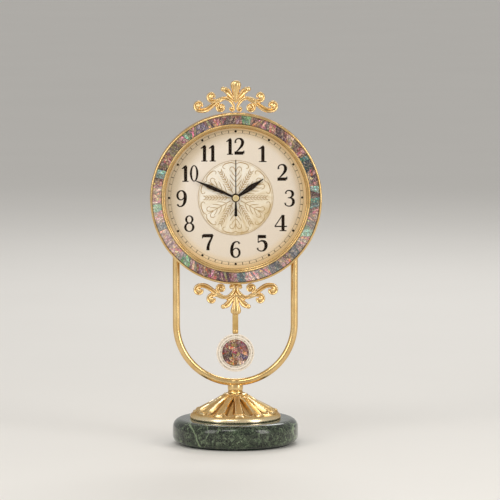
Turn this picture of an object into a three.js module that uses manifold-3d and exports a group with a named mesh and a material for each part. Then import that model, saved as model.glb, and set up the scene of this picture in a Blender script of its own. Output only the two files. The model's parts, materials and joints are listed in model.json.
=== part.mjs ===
// Table clock: a round head on a U-shaped tube, over a fluted foot and a marble base, with a
// pendulum that swings inside the U. Millimetres, +Z up, the dial faces -Y, and the origin is the
// centre of the underside.
import * as THREE from 'three';
import { mergeVertices } from 'three/addons/utils/BufferGeometryUtils.js';
import Module from 'manifold-3d';

const wasm = await Module();
wasm.setup();

// Clearances
const GAP = 0.3; // between pieces that touch or are fastened together
const RUNNING_GAP = 0.3; // between a shaft and its hole
const SWING_GAP = 0.6; // between the pendulum's magnet and its coil

// Stand
const MARBLE_RADIUS = 74;
const MARBLE_HEIGHT = 28;
const MARBLE_TOP_ROUND = 10;
const MARBLE_BOTTOM_ROUND = 8;
const FELT_THICKNESS = 1.5;
const FELT_INSET = 1; // how far the felt stays inside the marble's flat underside
const FOOT_RADIUS = 53.5;
const FOOT_TOP_RADIUS = 12.8;
const FOOT_HEIGHT = 29;
const FOOT_RIM_HEIGHT = 6;
const FOOT_RIM_LEDGE = 2.5; // step from the rim in to the flare
const FLARE_SAG = 0.66; // how far the flare dips below a straight cone, near its top
const FOOT_WALL = 2.2;
const FLUTE_COUNT = 12;
const FLUTE_DEPTH = 2.6;
const FLUTE_INWARD = 0.55; // direction in which the flutes are sunk
const FLUTE_DOWNWARD = 0.83;
const FLUTE_TURN = 4; // degrees that the ribs are turned from the front
const COLLAR_RADIUS = 9.2;
const COLLAR_HEIGHT = 10.8;
const COLLAR_WALL_UNDER_TUBE = 1.4;
const SADDLE_WIDTH = 8.4;
const SADDLE_WALL = 1.3;
const TIE_RADIUS = 3;
const TIE_HEAD_RADIUS = 5.8;
const TIE_HEAD_HEIGHT = 4;
const TIE_HEAD_INSET = 1; // bolt's head above the marble's underside
const WASHER_RADIUS = 11;
const WASHER_THICKNESS = 1.5;
const WASHER_RECESS_ROOM = 2; // room around the washer in the marble

// U-shaped tube
const TUBE_RADIUS = 4.15;
const LEG_OFFSET = 69.7; // from the middle to each leg, and the radius of the bend
const LEG_RISE = 150.3; // from the bend's centre up to the head's centre

// Case and bezel: radii
const BEZEL_RADIUS = 100.5;
const RIM_WIDTH = 2.5;
const INLAY_WIDTH = 10.2;
const INNER_RING_WIDTH = 4.7;
const BEZEL_WALL = 4;
const BEZEL_OVERHANG = 10.5; // bezel beyond the case's wall
const CASE_WALL = 2.6;
const LEDGE_WIDTH = 5.4;
const SPACER_WALL = 4;

// Case and bezel: depths, measured towards the viewer from the plane of the U-shaped tube
const DIAL_FRONT = 12;
const DIAL_THICKNESS = 1;
const HAND_ROOM = 6.8; // from the dial to the glass
const GLASS_THICKNESS = 1.5;
const INNER_RING_HEIGHT = 2.7;
const RIM_STANDS_PROUD = 6.2; // rim in front of the inner ring
const BEZEL_DEPTH = 20.3;
const BEZEL_FLOOR = 2;
const INLAY_STEP = 1.2; // inlay below the rim's front edge
const INLAY_DISH = 5.5; // inlay's inner edge behind its outer edge
const CASE_FRONT_SETBACK = 0.1; // case behind the glass
const FLANGE_THICKNESS = 4;
const LEDGE_THICKNESS = 2.4;
const CASE_BACK_DEPTH = 7.4; // case wall behind the tube's plane
const COVER_THICKNESS = 1.6;

// Leg sockets and screws
const SOCKET_WALL = 2.1;
const SOCKET_BELOW_CASE = 9; // socket's mouth below the case's wall
const SOCKET_DEPTH = 19;
const SOCKET_CAP = 3;
const LEG_SCREW_RISE = 3.8; // the set screw above the socket's mouth
const SCREW_RADIUS = 1.3;
const SCREW_HEAD_RADIUS = 2.7;
const SCREW_HEAD_HEIGHT = 1.5;
const SCREW_LENGTH = 8;
const POST_RADIUS = 4.6;
const POST_INSET = 4.4; // posts' centres inside the case's wall
const POST_HEIGHT = 12;
const POST_ANGLES = [45, 135, 240, 300];
const WINDOW_MARGIN = 4; // back cover's opening around the movement

// Dial centre and hands
const PEARL_RADIUS = 44.2;
const PEARL_THICKNESS = 0.4;
const HUB_BOSS_RADIUS = 4.9;
const HUB_CAP_RADIUS = 3.85;
const HUB_CAP_HEIGHT = 1.1;
const HAND_THICKNESS = 0.5;
const HAND_STEP = 1.2; // from one hand's plane to the next
const HOUR_HAND_LENGTH = 39.2;
const HOUR_HAND_WIDTH = 5.5;
const MINUTE_HAND_LENGTH = 52.4;
const MINUTE_HAND_WIDTH = 3.9;
const SECOND_HAND_LENGTH = 45;
const SECOND_HAND_WIDTH = 1.2;
const SECOND_TAIL_LENGTH = 20.8;
const SECOND_TAIL_WIDTH = 3;
const HOUR_HAND_ANGLE = 55.7; // degrees clockwise from twelve
const MINUTE_HAND_ANGLE = 293.5;

// Movement
const MOVEMENT_SIZE = 56;
const MOVEMENT_DEPTH = 17.3;
const MOVEMENT_WALL = 1.2;
const FRONT_HALF_DEPTH = 8.7;
const ARBOR_RADIUS = 0.5;
const TUBE_WALL = 0.7; // wall of each tube on the centre shaft
const BUSHING_WALL = 1;
const NUT_THICKNESS = 1.2;
const GEAR_THICKNESS = 1;
const PINION_LENGTH = 1.6;
const PLATE_THICKNESS = 0.7;
const BATTERY_RADIUS = 7.1;
const BATTERY_LENGTH = 50;
const BATTERY_NUB = 1;
const CONTACT_THICKNESS = 0.4;
const BAY_HEIGHT = 15.1;
const SETTING_SHAFT_RADIUS = 1.2;
const KNOB_RADIUS = 5.5;
const KNOB_HEIGHT = 2;
const COIL_LENGTH = 15;
const COIL_HEIGHT = 7.5;
const COIL_DEPTH = 7;
const STATOR_THICKNESS = 1;
const STATOR_BELOW_ROTOR = 7;
const COIL_ABOVE_ROTOR = 9.6;
const COIL_SHIFT = -1; // coil's middle beside the rotor
const BOARD_LEFT = 9;
const BOARD_RIGHT = 25;
const BOARD_TOP = 8;
const BOARD_THICKNESS = 1;
const MAGNET_RADIUS = 2.5;
const MAGNET_LENGTH = 2.5;

// Gear trains. Each pair's module follows from the distance between its shafts.
const PRESSURE_ANGLE = 25 * Math.PI / 180;
const ADDENDUM = 0.75; // in modules
const DEDENDUM = 1.05;
const BACKLASH = 0.24;
const MOTION_SHAFT_DISTANCE = 12;
const CANNON_TEETH = 8;
const MINUTE_WHEEL_TEETH = 24;
const MINUTE_PINION_TEETH = 8;
const HOUR_WHEEL_TEETH = 32;
const SECONDS_SHAFT_DISTANCE = 8.4;
const ROTOR_SHAFT_DISTANCE = 7.2;
const ROTOR_TEETH = 6;
const REDUCTION_WHEEL_TEETH = 30;
const REDUCTION_PINION_TEETH = 6;
const SECONDS_WHEEL_TEETH = 36;
const SETTING_ANGLE = 30; // direction from the minute wheel to the setting shaft
const REDUCTION_ANGLE = 160; // direction from the centre to the reduction wheel
const ROTOR_ANGLE = 200; // direction from the reduction wheel to the rotor

// Pendulum
const PIVOT_DROP = 38; // below the head's centre
const PIVOT_RADIUS = 1;
const HOUSING_WIDTH = 44;
const HOUSING_HEIGHT = 34;
const HANGER_LENGTH = 29;
const HANGER_WIDTH = 5;
const HANGER_THICKNESS = 2.4;
const HANGER_EYE_RADIUS = 3.6;
const HANGER_BOSS_HEIGHT = 2; // bosses in front of the arm
const HOOK_RADIUS = 1.2;
const PENDULUM_MAGNET_RADIUS = 4;
const PENDULUM_MAGNET_DROP = 17;
const DRIVE_COIL_RADIUS = 6.5;
const DRIVE_COIL_LENGTH = 3;
const ROD_WIDTH = 6.8;
const ROD_TOP_MARGIN = 2; // rod above the hook's hole
const ROD_THICKNESS = 1.6;
const ROD_SLOT_HALF_WIDTH = 16;
const ROD_SLOT_HALF_DEPTH = 5;
const BOB_CLEARANCE = 9; // bob above the bend of the tube
const BOB_RADIUS = 22.4;
const BOB_INLAY_RADIUS = 15.6;
const BOB_RING_THICKNESS = 3.4;
const BOB_BACK_THICKNESS = 1.6;
const RIVET_RADIUS = 1.2;
const RIVET_RISE = 2.5; // above the rod's lower end
const RIVET_HEAD_RADIUS = 2;
const RIVET_HEAD_HEIGHT = 0.8;

// Scroll casting
const SCROLL_PLANE = 16; // in front of the tube's plane
const SCROLL_PIN_RADIUS = 1.3;
const SCROLL_PIN_DEPTH = 2; // into the bezel's wall
const SCROLL_HEIGHT = 37.3; // above the bezel's rim
const PATTERN_HEIGHT = 37.3; // the same height in the pattern's own units
const PATTERN_SNAIL = 17.3; // middle of the snail scroll, over the fixing pin
const BUD_FLATNESS = 0.62;

// Sides of the round pieces
const RING_SIDES = 40;
const BASE_SIDES = 44;
const BOB_SIDES = 28;
const SMALL_SIDES = 14;
const TINY_SIDES = 8;
const TUBE_STEPS = 36;
const SIDES_PER_FLUTE = 4;

const DEGREE = Math.PI / 180;

// Heights of the stand
const marbleBottom = FELT_THICKNESS + GAP;
const marbleTop = marbleBottom + MARBLE_HEIGHT;
const footBottom = marbleTop + GAP;
const footTop = footBottom + FOOT_HEIGHT;
const collarBottom = footTop + GAP;
const collarTop = collarBottom + COLLAR_HEIGHT;
const tubeSeat = collarTop - TUBE_RADIUS + COLLAR_WALL_UNDER_TUBE;
const tubeBottomAxis = tubeSeat + GAP + TUBE_RADIUS;
const bendCentre = tubeBottomAxis + LEG_OFFSET;
const headCentre = bendCentre + LEG_RISE;

// Depths of the pendulum below the head's centre
const bobDrop = headCentre - (tubeBottomAxis + TUBE_RADIUS + BOB_CLEARANCE + BOB_RADIUS);
const rodEnd = bobDrop - BOB_RADIUS - GAP;

// Depths of the head, all towards the viewer
const dialBack = DIAL_FRONT - DIAL_THICKNESS;
const ledgeFront = dialBack - GAP;
const glassBack = DIAL_FRONT + HAND_ROOM;
const glassFront = glassBack + GLASS_THICKNESS;
const innerRingBack = glassFront + GAP;
const innerRingFront = innerRingBack + INNER_RING_HEIGHT;
const rimFront = innerRingFront + RIM_STANDS_PROUD;
const bezelBack = rimFront - BEZEL_DEPTH;
const caseFront = glassBack - CASE_FRONT_SETBACK;
const bezelFloorBack = caseFront + GAP;
const bezelFloorFront = bezelFloorBack + BEZEL_FLOOR;
const caseBack = -CASE_BACK_DEPTH;
const coverFront = caseBack - GAP;
const coverBack = coverFront - COVER_THICKNESS;
const movementFront = ledgeFront;
const movementBack = movementFront - MOVEMENT_DEPTH;
const roomFront = movementFront - MOVEMENT_WALL;
const roomBack = movementBack + MOVEMENT_WALL;

// Radii of the head
const rimInner = BEZEL_RADIUS - RIM_WIDTH;
const inlayOuter = rimInner - GAP;
const inlayInner = inlayOuter - INLAY_WIDTH;
const innerRingOuter = inlayInner - GAP;
const innerRingInner = innerRingOuter - INNER_RING_WIDTH;
const bezelWallInner = BEZEL_RADIUS - BEZEL_WALL;
const caseRadius = BEZEL_RADIUS - BEZEL_OVERHANG;
const flangeRadius = bezelWallInner - GAP;
const caseInner = caseRadius - CASE_WALL;
const packRadius = caseInner - GAP;
const bezelFloorInner = Math.max(packRadius, innerRingOuter) + GAP;
const postCircle = caseInner - POST_INSET;
const patternUnit = SCROLL_HEIGHT / PATTERN_HEIGHT;
const scrollPinAt = PATTERN_SNAIL * patternUnit;
const socketMouth = Math.sqrt(caseRadius ** 2 - LEG_OFFSET ** 2) + SOCKET_BELOW_CASE;

const satinGold = { color: 0xc99a55, roughness: 0.34, metalness: 1 };
const brass = { color: 0xc2a35a, roughness: 0.4, metalness: 1 };
const steel = { color: 0x9a9c9e, roughness: 0.4, metalness: 1 };
const blackEnamel = { color: 0x15100d, roughness: 0.4, metalness: 0.1 };
const blackPlastic = { color: 0x202124, roughness: 0.6, metalness: 0 };
const whitePlastic = { color: 0xd8d6cf, roughness: 0.5, metalness: 0 };
const greenMarble = { color: 0x2f4438, roughness: 0.18, metalness: 0 };
const abalone = { color: 0xb78f8c, roughness: 0.25, metalness: 0 };
const motherOfPearl = { color: 0xe6d3ab, roughness: 0.3, metalness: 0 };
const ivoryDial = { color: 0xe8dfcc, roughness: 0.55, metalness: 0 };
const clearGlass = { color: 0xf4f8f8, roughness: 0.05, metalness: 0, transparent: true, opacity: 0.2 };
const darkFelt = { color: 0x1f2622, roughness: 0.95, metalness: 0 };
const copperWire = { color: 0xa9623a, roughness: 0.45, metalness: 0.8 };
const boardGreen = { color: 0x2c5f3f, roughness: 0.5, metalness: 0 };
const batteryGrey = { color: 0x5c6064, roughness: 0.4, metalness: 0.3 };

// A closed surface as a solid that can be joined and cut.
function toSolid(geometry) {
  const bare = new THREE.BufferGeometry();
  bare.setAttribute('position', geometry.getAttribute('position'));
  bare.setIndex(geometry.getIndex());
  const merged = mergeVertices(bare, 1e-4);
  const index = merged.getIndex().array;
  const triVerts = [];
  for (let i = 0; i < index.length; i += 3) {
    const [a, b, c] = [index[i], index[i + 1], index[i + 2]];
    if (a !== b && b !== c && c !== a) triVerts.push(a, b, c);
  }
  return new wasm.Manifold(new wasm.Mesh({
    numProp: 3,
    vertProperties: Float32Array.from(merged.getAttribute('position').array),
    triVerts: Uint32Array.from(triVerts),
  }));
}

function toGeometry(solid) {
  const mesh = solid.getMesh();
  const geometry = new THREE.BufferGeometry();
  geometry.setAttribute('position', new THREE.BufferAttribute(mesh.vertProperties, 3));
  geometry.setIndex(new THREE.BufferAttribute(mesh.triVerts, 1));
  return geometry;
}

function join(...shapes) {
  return toGeometry(shapes.map(toSolid).reduce((whole, next) => whole.add(next)));
}

function cut(body, ...tools) {
  return toGeometry(tools.map(toSolid).reduce((whole, tool) => whole.subtract(tool), toSolid(body)));
}

// A solid turned about Z from a profile of [radius, height] points. The profile runs up the
// outside and back down the inside, and one that starts and ends on the axis makes a full body.
function turned(profile, sides = RING_SIDES) {
  const points = profile.map(([radius, height]) => new THREE.Vector2(radius, height));
  const full = profile[0][0] === 0;
  if (!full) points.push(points[0].clone());
  return new THREE.LatheGeometry(points, sides).rotateX(Math.PI / 2);
}

// A plain ring or, with an inner radius of 0, a disc.
function ring(inner, outer, low, high, sides = RING_SIDES) {
  if (inner === 0) return turned([[0, low], [outer, low], [outer, high], [0, high]], sides);
  return turned([[inner, low], [outer, low], [outer, high], [inner, high]], sides);
}

// A quarter round of a profile: points on an arc between two angles in degrees.
function arcPoints(centreRadius, centreHeight, radius, from, to, steps) {
  return Array.from({ length: steps + 1 }, (_, i) => {
    const angle = (from + (to - from) * i / steps) * DEGREE;
    return [centreRadius + radius * Math.cos(angle), centreHeight + radius * Math.sin(angle)];
  });
}

// A flat shape given its thickness, from one height to another.
function plate(shape, low, high, curveSegments = 6) {
  const options = { depth: high - low, bevelEnabled: false, curveSegments };
  return new THREE.ExtrudeGeometry(shape, options).translate(0, 0, low);
}

function box(x0, x1, y0, y1, z0, z1) {
  const geometry = new THREE.BoxGeometry(x1 - x0, y1 - y0, z1 - z0);
  return geometry.translate((x0 + x1) / 2, (y0 + y1) / 2, (z0 + z1) / 2);
}

// A round hole or pin that runs along Z through the point x, y.
function pin(radius, x, y, low, high, sides = SMALL_SIDES) {
  return ring(0, radius, low, high, sides).translate(x, y, 0);
}

// The same along Y, for the legs.
function uprightPin(radius, x, z, low, high, sides = SMALL_SIDES) {
  return ring(0, radius, low, high, sides).rotateX(-Math.PI / 2).translate(x, 0, z);
}

function polar(radius, degrees) {
  return [radius * Math.cos(degrees * DEGREE), radius * Math.sin(degrees * DEGREE)];
}

function outline(points) {
  return new THREE.Shape(points.map(([x, y]) => new THREE.Vector2(x, y)));
}

// Gear teeth with involute flanks, as an outline. A tooth or a space points along +X.
function gearShape(teeth, module, { toothAtStart = true, flankSteps = 1 } = {}) {
  const pitch = teeth * module / 2;
  const baseRadius = pitch * Math.cos(PRESSURE_ANGLE);
  const tip = pitch + ADDENDUM * module;
  const root = pitch - DEDENDUM * module;
  const involute = (angle) => Math.tan(angle) - angle;
  const halfAtPitch = (Math.PI / 2 - BACKLASH) / teeth;
  const halfAngle = (radius) => {
    const pressure = Math.acos(Math.min(1, baseRadius / Math.max(radius, baseRadius)));
    return halfAtPitch + involute(PRESSURE_ANGLE) - involute(pressure);
  };
  const radii = [root];
  const flankStart = Math.max(root, baseRadius);
  if (flankStart > root) radii.push(flankStart);
  for (let step = 1; step <= flankSteps; step += 1) {
    radii.push(flankStart + (tip - flankStart) * step / flankSteps);
  }
  const points = [];
  for (let tooth = 0; tooth < teeth; tooth += 1) {
    const middle = (tooth + (toothAtStart ? 0 : 0.5)) * 2 * Math.PI / teeth;
    for (const radius of radii) {
      const angle = middle - halfAngle(radius);
      points.push([radius * Math.cos(angle), radius * Math.sin(angle)]);
    }
    for (const radius of [...radii].reverse()) {
      const angle = middle + halfAngle(radius);
      points.push([radius * Math.cos(angle), radius * Math.sin(angle)]);
    }
  }
  return outline(points);
}

function gear(teeth, module, low, high, options) {
  return plate(gearShape(teeth, module, options), low, high);
}

const clock = new THREE.Group();
const head = new THREE.Group();
head.rotation.x = Math.PI / 2;
head.position.z = headCentre;
clock.add(head);

function add(name, geometry, material, parent = head) {
  const mesh = new THREE.Mesh(toGeometry(toSolid(geometry)), new THREE.MeshStandardMaterial(material));
  mesh.name = name;
  parent.add(mesh);
  return mesh;
}

// Stand: felt, marble, foot, collar and the bolt that holds them together
function addBase() {
  const flatRadius = MARBLE_RADIUS - MARBLE_BOTTOM_ROUND;
  add('felt_pad', ring(0, flatRadius - FELT_INSET, 0, FELT_THICKNESS, BASE_SIDES), darkFelt, clock);

  const boltHole = TIE_RADIUS + RUNNING_GAP;
  const recess = WASHER_RADIUS + WASHER_RECESS_ROOM;
  const recessTop = marbleBottom + TIE_HEAD_INSET + TIE_HEAD_HEIGHT + WASHER_THICKNESS + 2 * GAP;
  const marble = turned([
    [recess, marbleBottom],
    ...arcPoints(flatRadius, marbleBottom + MARBLE_BOTTOM_ROUND, MARBLE_BOTTOM_ROUND, -90, 0, 3),
    ...arcPoints(MARBLE_RADIUS - MARBLE_TOP_ROUND, marbleTop - MARBLE_TOP_ROUND,
      MARBLE_TOP_ROUND, 0, 90, 3),
    [boltHole, marbleTop],
    [boltHole, recessTop],
    [recess, recessTop],
  ], BASE_SIDES);
  add('marble_base', marble, greenMarble, clock);

  const washerTop = recessTop - GAP;
  const headTop = washerTop - WASHER_THICKNESS - GAP;
  add('tie_washer', ring(boltHole, WASHER_RADIUS, washerTop - WASHER_THICKNESS, washerTop, SMALL_SIDES),
    steel, clock);
  const boltTop = tubeSeat - COLLAR_WALL_UNDER_TUBE - GAP;
  const bolt = turned([[0, headTop - TIE_HEAD_HEIGHT], [TIE_HEAD_RADIUS, headTop - TIE_HEAD_HEIGHT],
    [TIE_HEAD_RADIUS, headTop], [TIE_RADIUS, headTop], [TIE_RADIUS, boltTop], [0, boltTop]], 12);
  add('tie_bolt', bolt, steel, clock);
}

// The foot's shell: rows of [radius, height, share of the flute's depth] run up the outside and
// down the inside, and every row is waved by the same flutes.
function flutedShell(rows, sides) {
  const positions = [];
  const index = [];
  for (const [radius, height, share] of rows) {
    for (let side = 0; side < sides; side += 1) {
      const angle = side * 2 * Math.PI / sides;
      const wave = (1 - Math.cos(FLUTE_COUNT * angle)) / 2;
      const dip = share * FLUTE_DEPTH * Math.pow(wave, 0.7);
      const sunkRadius = radius - dip * FLUTE_INWARD;
      positions.push(sunkRadius * Math.cos(angle), sunkRadius * Math.sin(angle));
      positions.push(height - dip * FLUTE_DOWNWARD);
    }
  }
  for (let row = 0; row < rows.length; row += 1) {
    const next = (row + 1) % rows.length;
    for (let side = 0; side < sides; side += 1) {
      const after = (side + 1) % sides;
      const [a, b] = [row * sides + side, row * sides + after];
      const [c, d] = [next * sides + after, next * sides + side];
      index.push(a, b, c, a, c, d);
    }
  }
  const geometry = new THREE.BufferGeometry();
  geometry.setAttribute('position', new THREE.Float32BufferAttribute(positions, 3));
  geometry.setIndex(index);
  return geometry;
}

function addFoot() {
  const boltHole = TIE_RADIUS + RUNNING_GAP;
  const flareFoot = FOOT_RADIUS - FOOT_RIM_LEDGE;
  // From the rim up to the collar the flare is nearly a cone, steeper towards its top.
  const steps = 6;
  const outside = [];
  for (let i = 0; i <= steps; i += 1) {
    const t = 1 - i / steps;
    const radius = FOOT_TOP_RADIUS + (flareFoot - FOOT_TOP_RADIUS) * t;
    const rise = 1 - t - FLARE_SAG * t * (1 - t) ** 3;
    const height = footBottom + FOOT_RIM_HEIGHT + (FOOT_HEIGHT - FOOT_RIM_HEIGHT) * rise;
    outside.push([radius, height, Math.min(1, 2.6 * (1 - t), 0.3 + 2 * t)]);
  }
  const underTop = footTop - FOOT_WALL;
  const rows = [
    [FOOT_RADIUS - FOOT_WALL - 1, footBottom, 0],
    [FOOT_RADIUS, footBottom, 0],
    [FOOT_RADIUS, footBottom + FOOT_RIM_HEIGHT * 0.6, 0],
    ...outside,
    [boltHole, footTop, 0],
    [boltHole, underTop, 0],
    [FOOT_TOP_RADIUS - FOOT_WALL - FLUTE_DEPTH, underTop, 0],
  ];
  add('fluted_foot', flutedShell(rows, FLUTE_COUNT * SIDES_PER_FLUTE).rotateZ((FLUTE_TURN - 90) * DEGREE),
    satinGold, clock);
}

// The tube's centre line in the X-Z plane: down one leg, round the bend and up the other.
function tubePath(legTop) {
  const path = new THREE.CurvePath();
  const left = new THREE.Vector3(-LEG_OFFSET, 0, bendCentre);
  const right = new THREE.Vector3(LEG_OFFSET, 0, bendCentre);
  class Bend extends THREE.Curve {
    getPoint(t, target = new THREE.Vector3()) {
      const angle = Math.PI * (1 + t);
      return target.set(LEG_OFFSET * Math.cos(angle), 0, bendCentre + LEG_OFFSET * Math.sin(angle));
    }
  }
  path.add(new THREE.LineCurve3(new THREE.Vector3(-LEG_OFFSET, 0, legTop), left));
  path.add(new Bend());
  path.add(new THREE.LineCurve3(right, new THREE.Vector3(LEG_OFFSET, 0, legTop)));
  return path;
}

function addTubeAndCollar() {
  const legTop = headCentre - socketMouth + SOCKET_DEPTH - GAP;
  const section = new THREE.Shape();
  section.absarc(0, 0, TUBE_RADIUS, 0, 2 * Math.PI);
  const tube = new THREE.ExtrudeGeometry(section, {
    steps: TUBE_STEPS, extrudePath: tubePath(legTop), curveSegments: 5, bevelEnabled: false,
  });
  add('u_frame', tube, satinGold, clock);

  const bore = TIE_RADIUS + RUNNING_GAP;
  const boreTop = tubeSeat - COLLAR_WALL_UNDER_TUBE;
  const body = turned([
    [bore, collarBottom],
    [COLLAR_RADIUS - 1.6, collarBottom],
    ...arcPoints(COLLAR_RADIUS - 1.2, collarBottom + 1.6, 1.2, -60, 90, 3),
    [COLLAR_RADIUS - 0.6, collarTop - 1],
    [COLLAR_RADIUS - 1.6, collarTop],
    [0, collarTop],
    [0, boreTop],
    [bore, boreTop],
  ], 24);
  const reach = TUBE_RADIUS + GAP + SADDLE_WALL;
  const saddle = box(-SADDLE_WIDTH / 2, SADDLE_WIDTH / 2, -reach, reach,
    boreTop + 0.2, tubeBottomAxis + TUBE_RADIUS * 0.6);
  const groove = ring(0, TUBE_RADIUS + GAP, -2 * COLLAR_RADIUS, 2 * COLLAR_RADIUS, 20)
    .rotateY(Math.PI / 2).translate(0, 0, tubeBottomAxis);
  add('collar', cut(join(body, saddle), groove), satinGold, clock);
}

// Case: drum, flange, dial ledge, leg sockets and screw posts in one casting
function addCase() {
  const drum = turned([
    [caseInner, caseBack],
    [caseRadius, caseBack],
    [caseRadius, caseFront - FLANGE_THICKNESS],
    [flangeRadius, caseFront - FLANGE_THICKNESS],
    [flangeRadius, caseFront],
    [caseInner, caseFront],
    [caseInner, ledgeFront],
    [caseInner - LEDGE_WIDTH, ledgeFront],
    [caseInner - LEDGE_WIDTH, ledgeFront - LEDGE_THICKNESS],
    [caseInner, ledgeFront - LEDGE_THICKNESS],
  ]);
  const socketRadius = TUBE_RADIUS + GAP + SOCKET_WALL;
  const socketBottom = -socketMouth;
  const socketTop = socketBottom + SOCKET_DEPTH + SOCKET_CAP;
  const sockets = [];
  const bores = [];
  for (const side of [-1, 1]) {
    const x = side * LEG_OFFSET;
    sockets.push(uprightPin(socketRadius, x, 0, socketBottom, socketTop));
    bores.push(uprightPin(TUBE_RADIUS + GAP, x, 0, socketBottom - 1, socketBottom + SOCKET_DEPTH));
    bores.push(pin(SCREW_RADIUS + RUNNING_GAP, x, socketBottom + LEG_SCREW_RISE,
      -socketRadius - 1, 0, TINY_SIDES));
  }
  const posts = POST_ANGLES.map((angle) =>
    pin(POST_RADIUS, ...polar(postCircle, angle), caseBack, caseBack + POST_HEIGHT, TINY_SIDES));
  const holes = POST_ANGLES.map((angle) =>
    pin(SCREW_RADIUS + RUNNING_GAP, ...polar(postCircle, angle), caseBack - 1,
      caseBack + SCREW_LENGTH, TINY_SIDES));
  const slot = box(-ROD_SLOT_HALF_WIDTH, ROD_SLOT_HALF_WIDTH, -caseRadius - CASE_WALL,
    -caseInner + CASE_WALL, -ROD_SLOT_HALF_DEPTH, ROD_SLOT_HALF_DEPTH);
  add('case_shell', cut(join(drum, ...sockets, ...posts), ...bores, ...holes, slot), satinGold);

  for (const [name, side] of [['leg_screw_left', -1], ['leg_screw_right', 1]]) {
    const seat = -socketRadius - GAP;
    const screw = turned([[0, seat - SCREW_HEAD_HEIGHT], [SCREW_HEAD_RADIUS, seat - SCREW_HEAD_HEIGHT],
      [SCREW_HEAD_RADIUS, seat], [SCREW_RADIUS, seat], [SCREW_RADIUS, -TUBE_RADIUS - GAP],
      [0, -TUBE_RADIUS - GAP]], TINY_SIDES);
    add(name, screw.translate(side * LEG_OFFSET, socketBottom + LEG_SCREW_RISE, 0), steel);
  }
}

function addBackCover() {
  const half = MOVEMENT_SIZE / 2 + WINDOW_MARGIN;
  const window = box(-half, half, -half, half, coverBack - 1, coverFront + 1);
  const holes = POST_ANGLES.map((angle) =>
    pin(SCREW_RADIUS + RUNNING_GAP, ...polar(postCircle, angle), coverBack - 1, coverFront + 1,
      TINY_SIDES));
  const disc = ring(0, caseRadius - GAP, coverBack, coverFront);
  add('back_cover', cut(disc, window, ...holes), satinGold);

  POST_ANGLES.forEach((angle, i) => {
    const seat = coverBack - GAP;
    const tip = caseBack + SCREW_LENGTH - GAP;
    const screw = turned([[0, seat - SCREW_HEAD_HEIGHT], [SCREW_HEAD_RADIUS, seat - SCREW_HEAD_HEIGHT],
      [SCREW_HEAD_RADIUS, seat], [SCREW_RADIUS, seat], [SCREW_RADIUS, tip], [0, tip]], TINY_SIDES);
    add(`back_screw_${i + 1}`, screw.translate(...polar(postCircle, angle), 0), steel);
  });
}

// Bezel, inlay, inner ring, glass, spacer and dial, from the front
function addBezelAndDial() {
  const pinHoles = [-1, 1].map((side) => uprightPin(SCROLL_PIN_RADIUS + GAP, side * scrollPinAt,
    SCROLL_PLANE, -BEZEL_RADIUS - 1, BEZEL_RADIUS + 1, TINY_SIDES));
  const wall = turned([
    [bezelWallInner, bezelBack],
    [BEZEL_RADIUS - 1, bezelBack],
    [BEZEL_RADIUS, bezelBack + 1],
    [BEZEL_RADIUS, rimFront - 1],
    [BEZEL_RADIUS - RIM_WIDTH * 0.4, rimFront],
    [rimInner + 0.2, rimFront - 0.3],
    [rimInner, bezelFloorFront],
    [bezelFloorInner, bezelFloorFront],
    [bezelFloorInner, bezelFloorBack],
    [bezelWallInner, bezelFloorBack],
  ]);
  const middle = ring(0, bezelWallInner - 0.5, bezelBack - 1, rimFront + 1, SMALL_SIDES);
  const drills = pinHoles.map((hole) => cut(hole, middle));
  add('bezel_rim', cut(wall, ...drills), satinGold);

  const inlayFront = rimFront - INLAY_STEP;
  add('shell_inlay', turned([
    [inlayInner, bezelFloorFront + GAP],
    [inlayOuter, bezelFloorFront + GAP],
    [inlayOuter, inlayFront],
    [inlayInner, inlayFront - INLAY_DISH],
  ]), abalone);

  const landWidth = INNER_RING_WIDTH * 0.5;
  add('inner_ring', turned([
    [innerRingInner, innerRingBack],
    [innerRingOuter, innerRingBack],
    [innerRingOuter, innerRingFront],
    [innerRingOuter - landWidth, innerRingFront],
    [innerRingInner + 0.8, innerRingBack + INNER_RING_HEIGHT * 0.45],
    [innerRingInner, innerRingBack + 0.5],
  ]), satinGold);

  add('glass_lens', ring(0, packRadius, glassBack, glassFront), clearGlass);
  add('dial_spacer', ring(packRadius - SPACER_WALL, packRadius, DIAL_FRONT + GAP, glassBack - GAP),
    ivoryDial);
  const bushingHole = bushingRadius + GAP;
  add('dial_plate', ring(bushingHole, packRadius, dialBack, DIAL_FRONT), ivoryDial);
  const pearlBack = DIAL_FRONT + GAP;
  add('pearl_disc', ring(nutRadius + GAP, PEARL_RADIUS, pearlBack, pearlBack + PEARL_THICKNESS),
    motherOfPearl);
}

// Radii of the tubes on the centre shaft, from the seconds arbor out to the threaded bushing
const cannonBore = ARBOR_RADIUS + RUNNING_GAP;
const cannonRadius = cannonBore + TUBE_WALL;
const hourBore = cannonRadius + RUNNING_GAP;
const hourRadius = hourBore + TUBE_WALL;
const bushingBore = hourRadius + RUNNING_GAP;
const bushingRadius = bushingBore + BUSHING_WALL;
const nutRadius = HUB_BOSS_RADIUS;

// Planes of the hands, each the back of its hand
const nutBack = DIAL_FRONT + GAP;
const nutFront = nutBack + NUT_THICKNESS;
const hourHandBack = nutFront + HAND_THICKNESS;
const minuteHandBack = hourHandBack + HAND_STEP;
const secondHandBack = minuteHandBack + HAND_STEP;
const hubCapBack = secondHandBack + HAND_THICKNESS + GAP;

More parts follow.
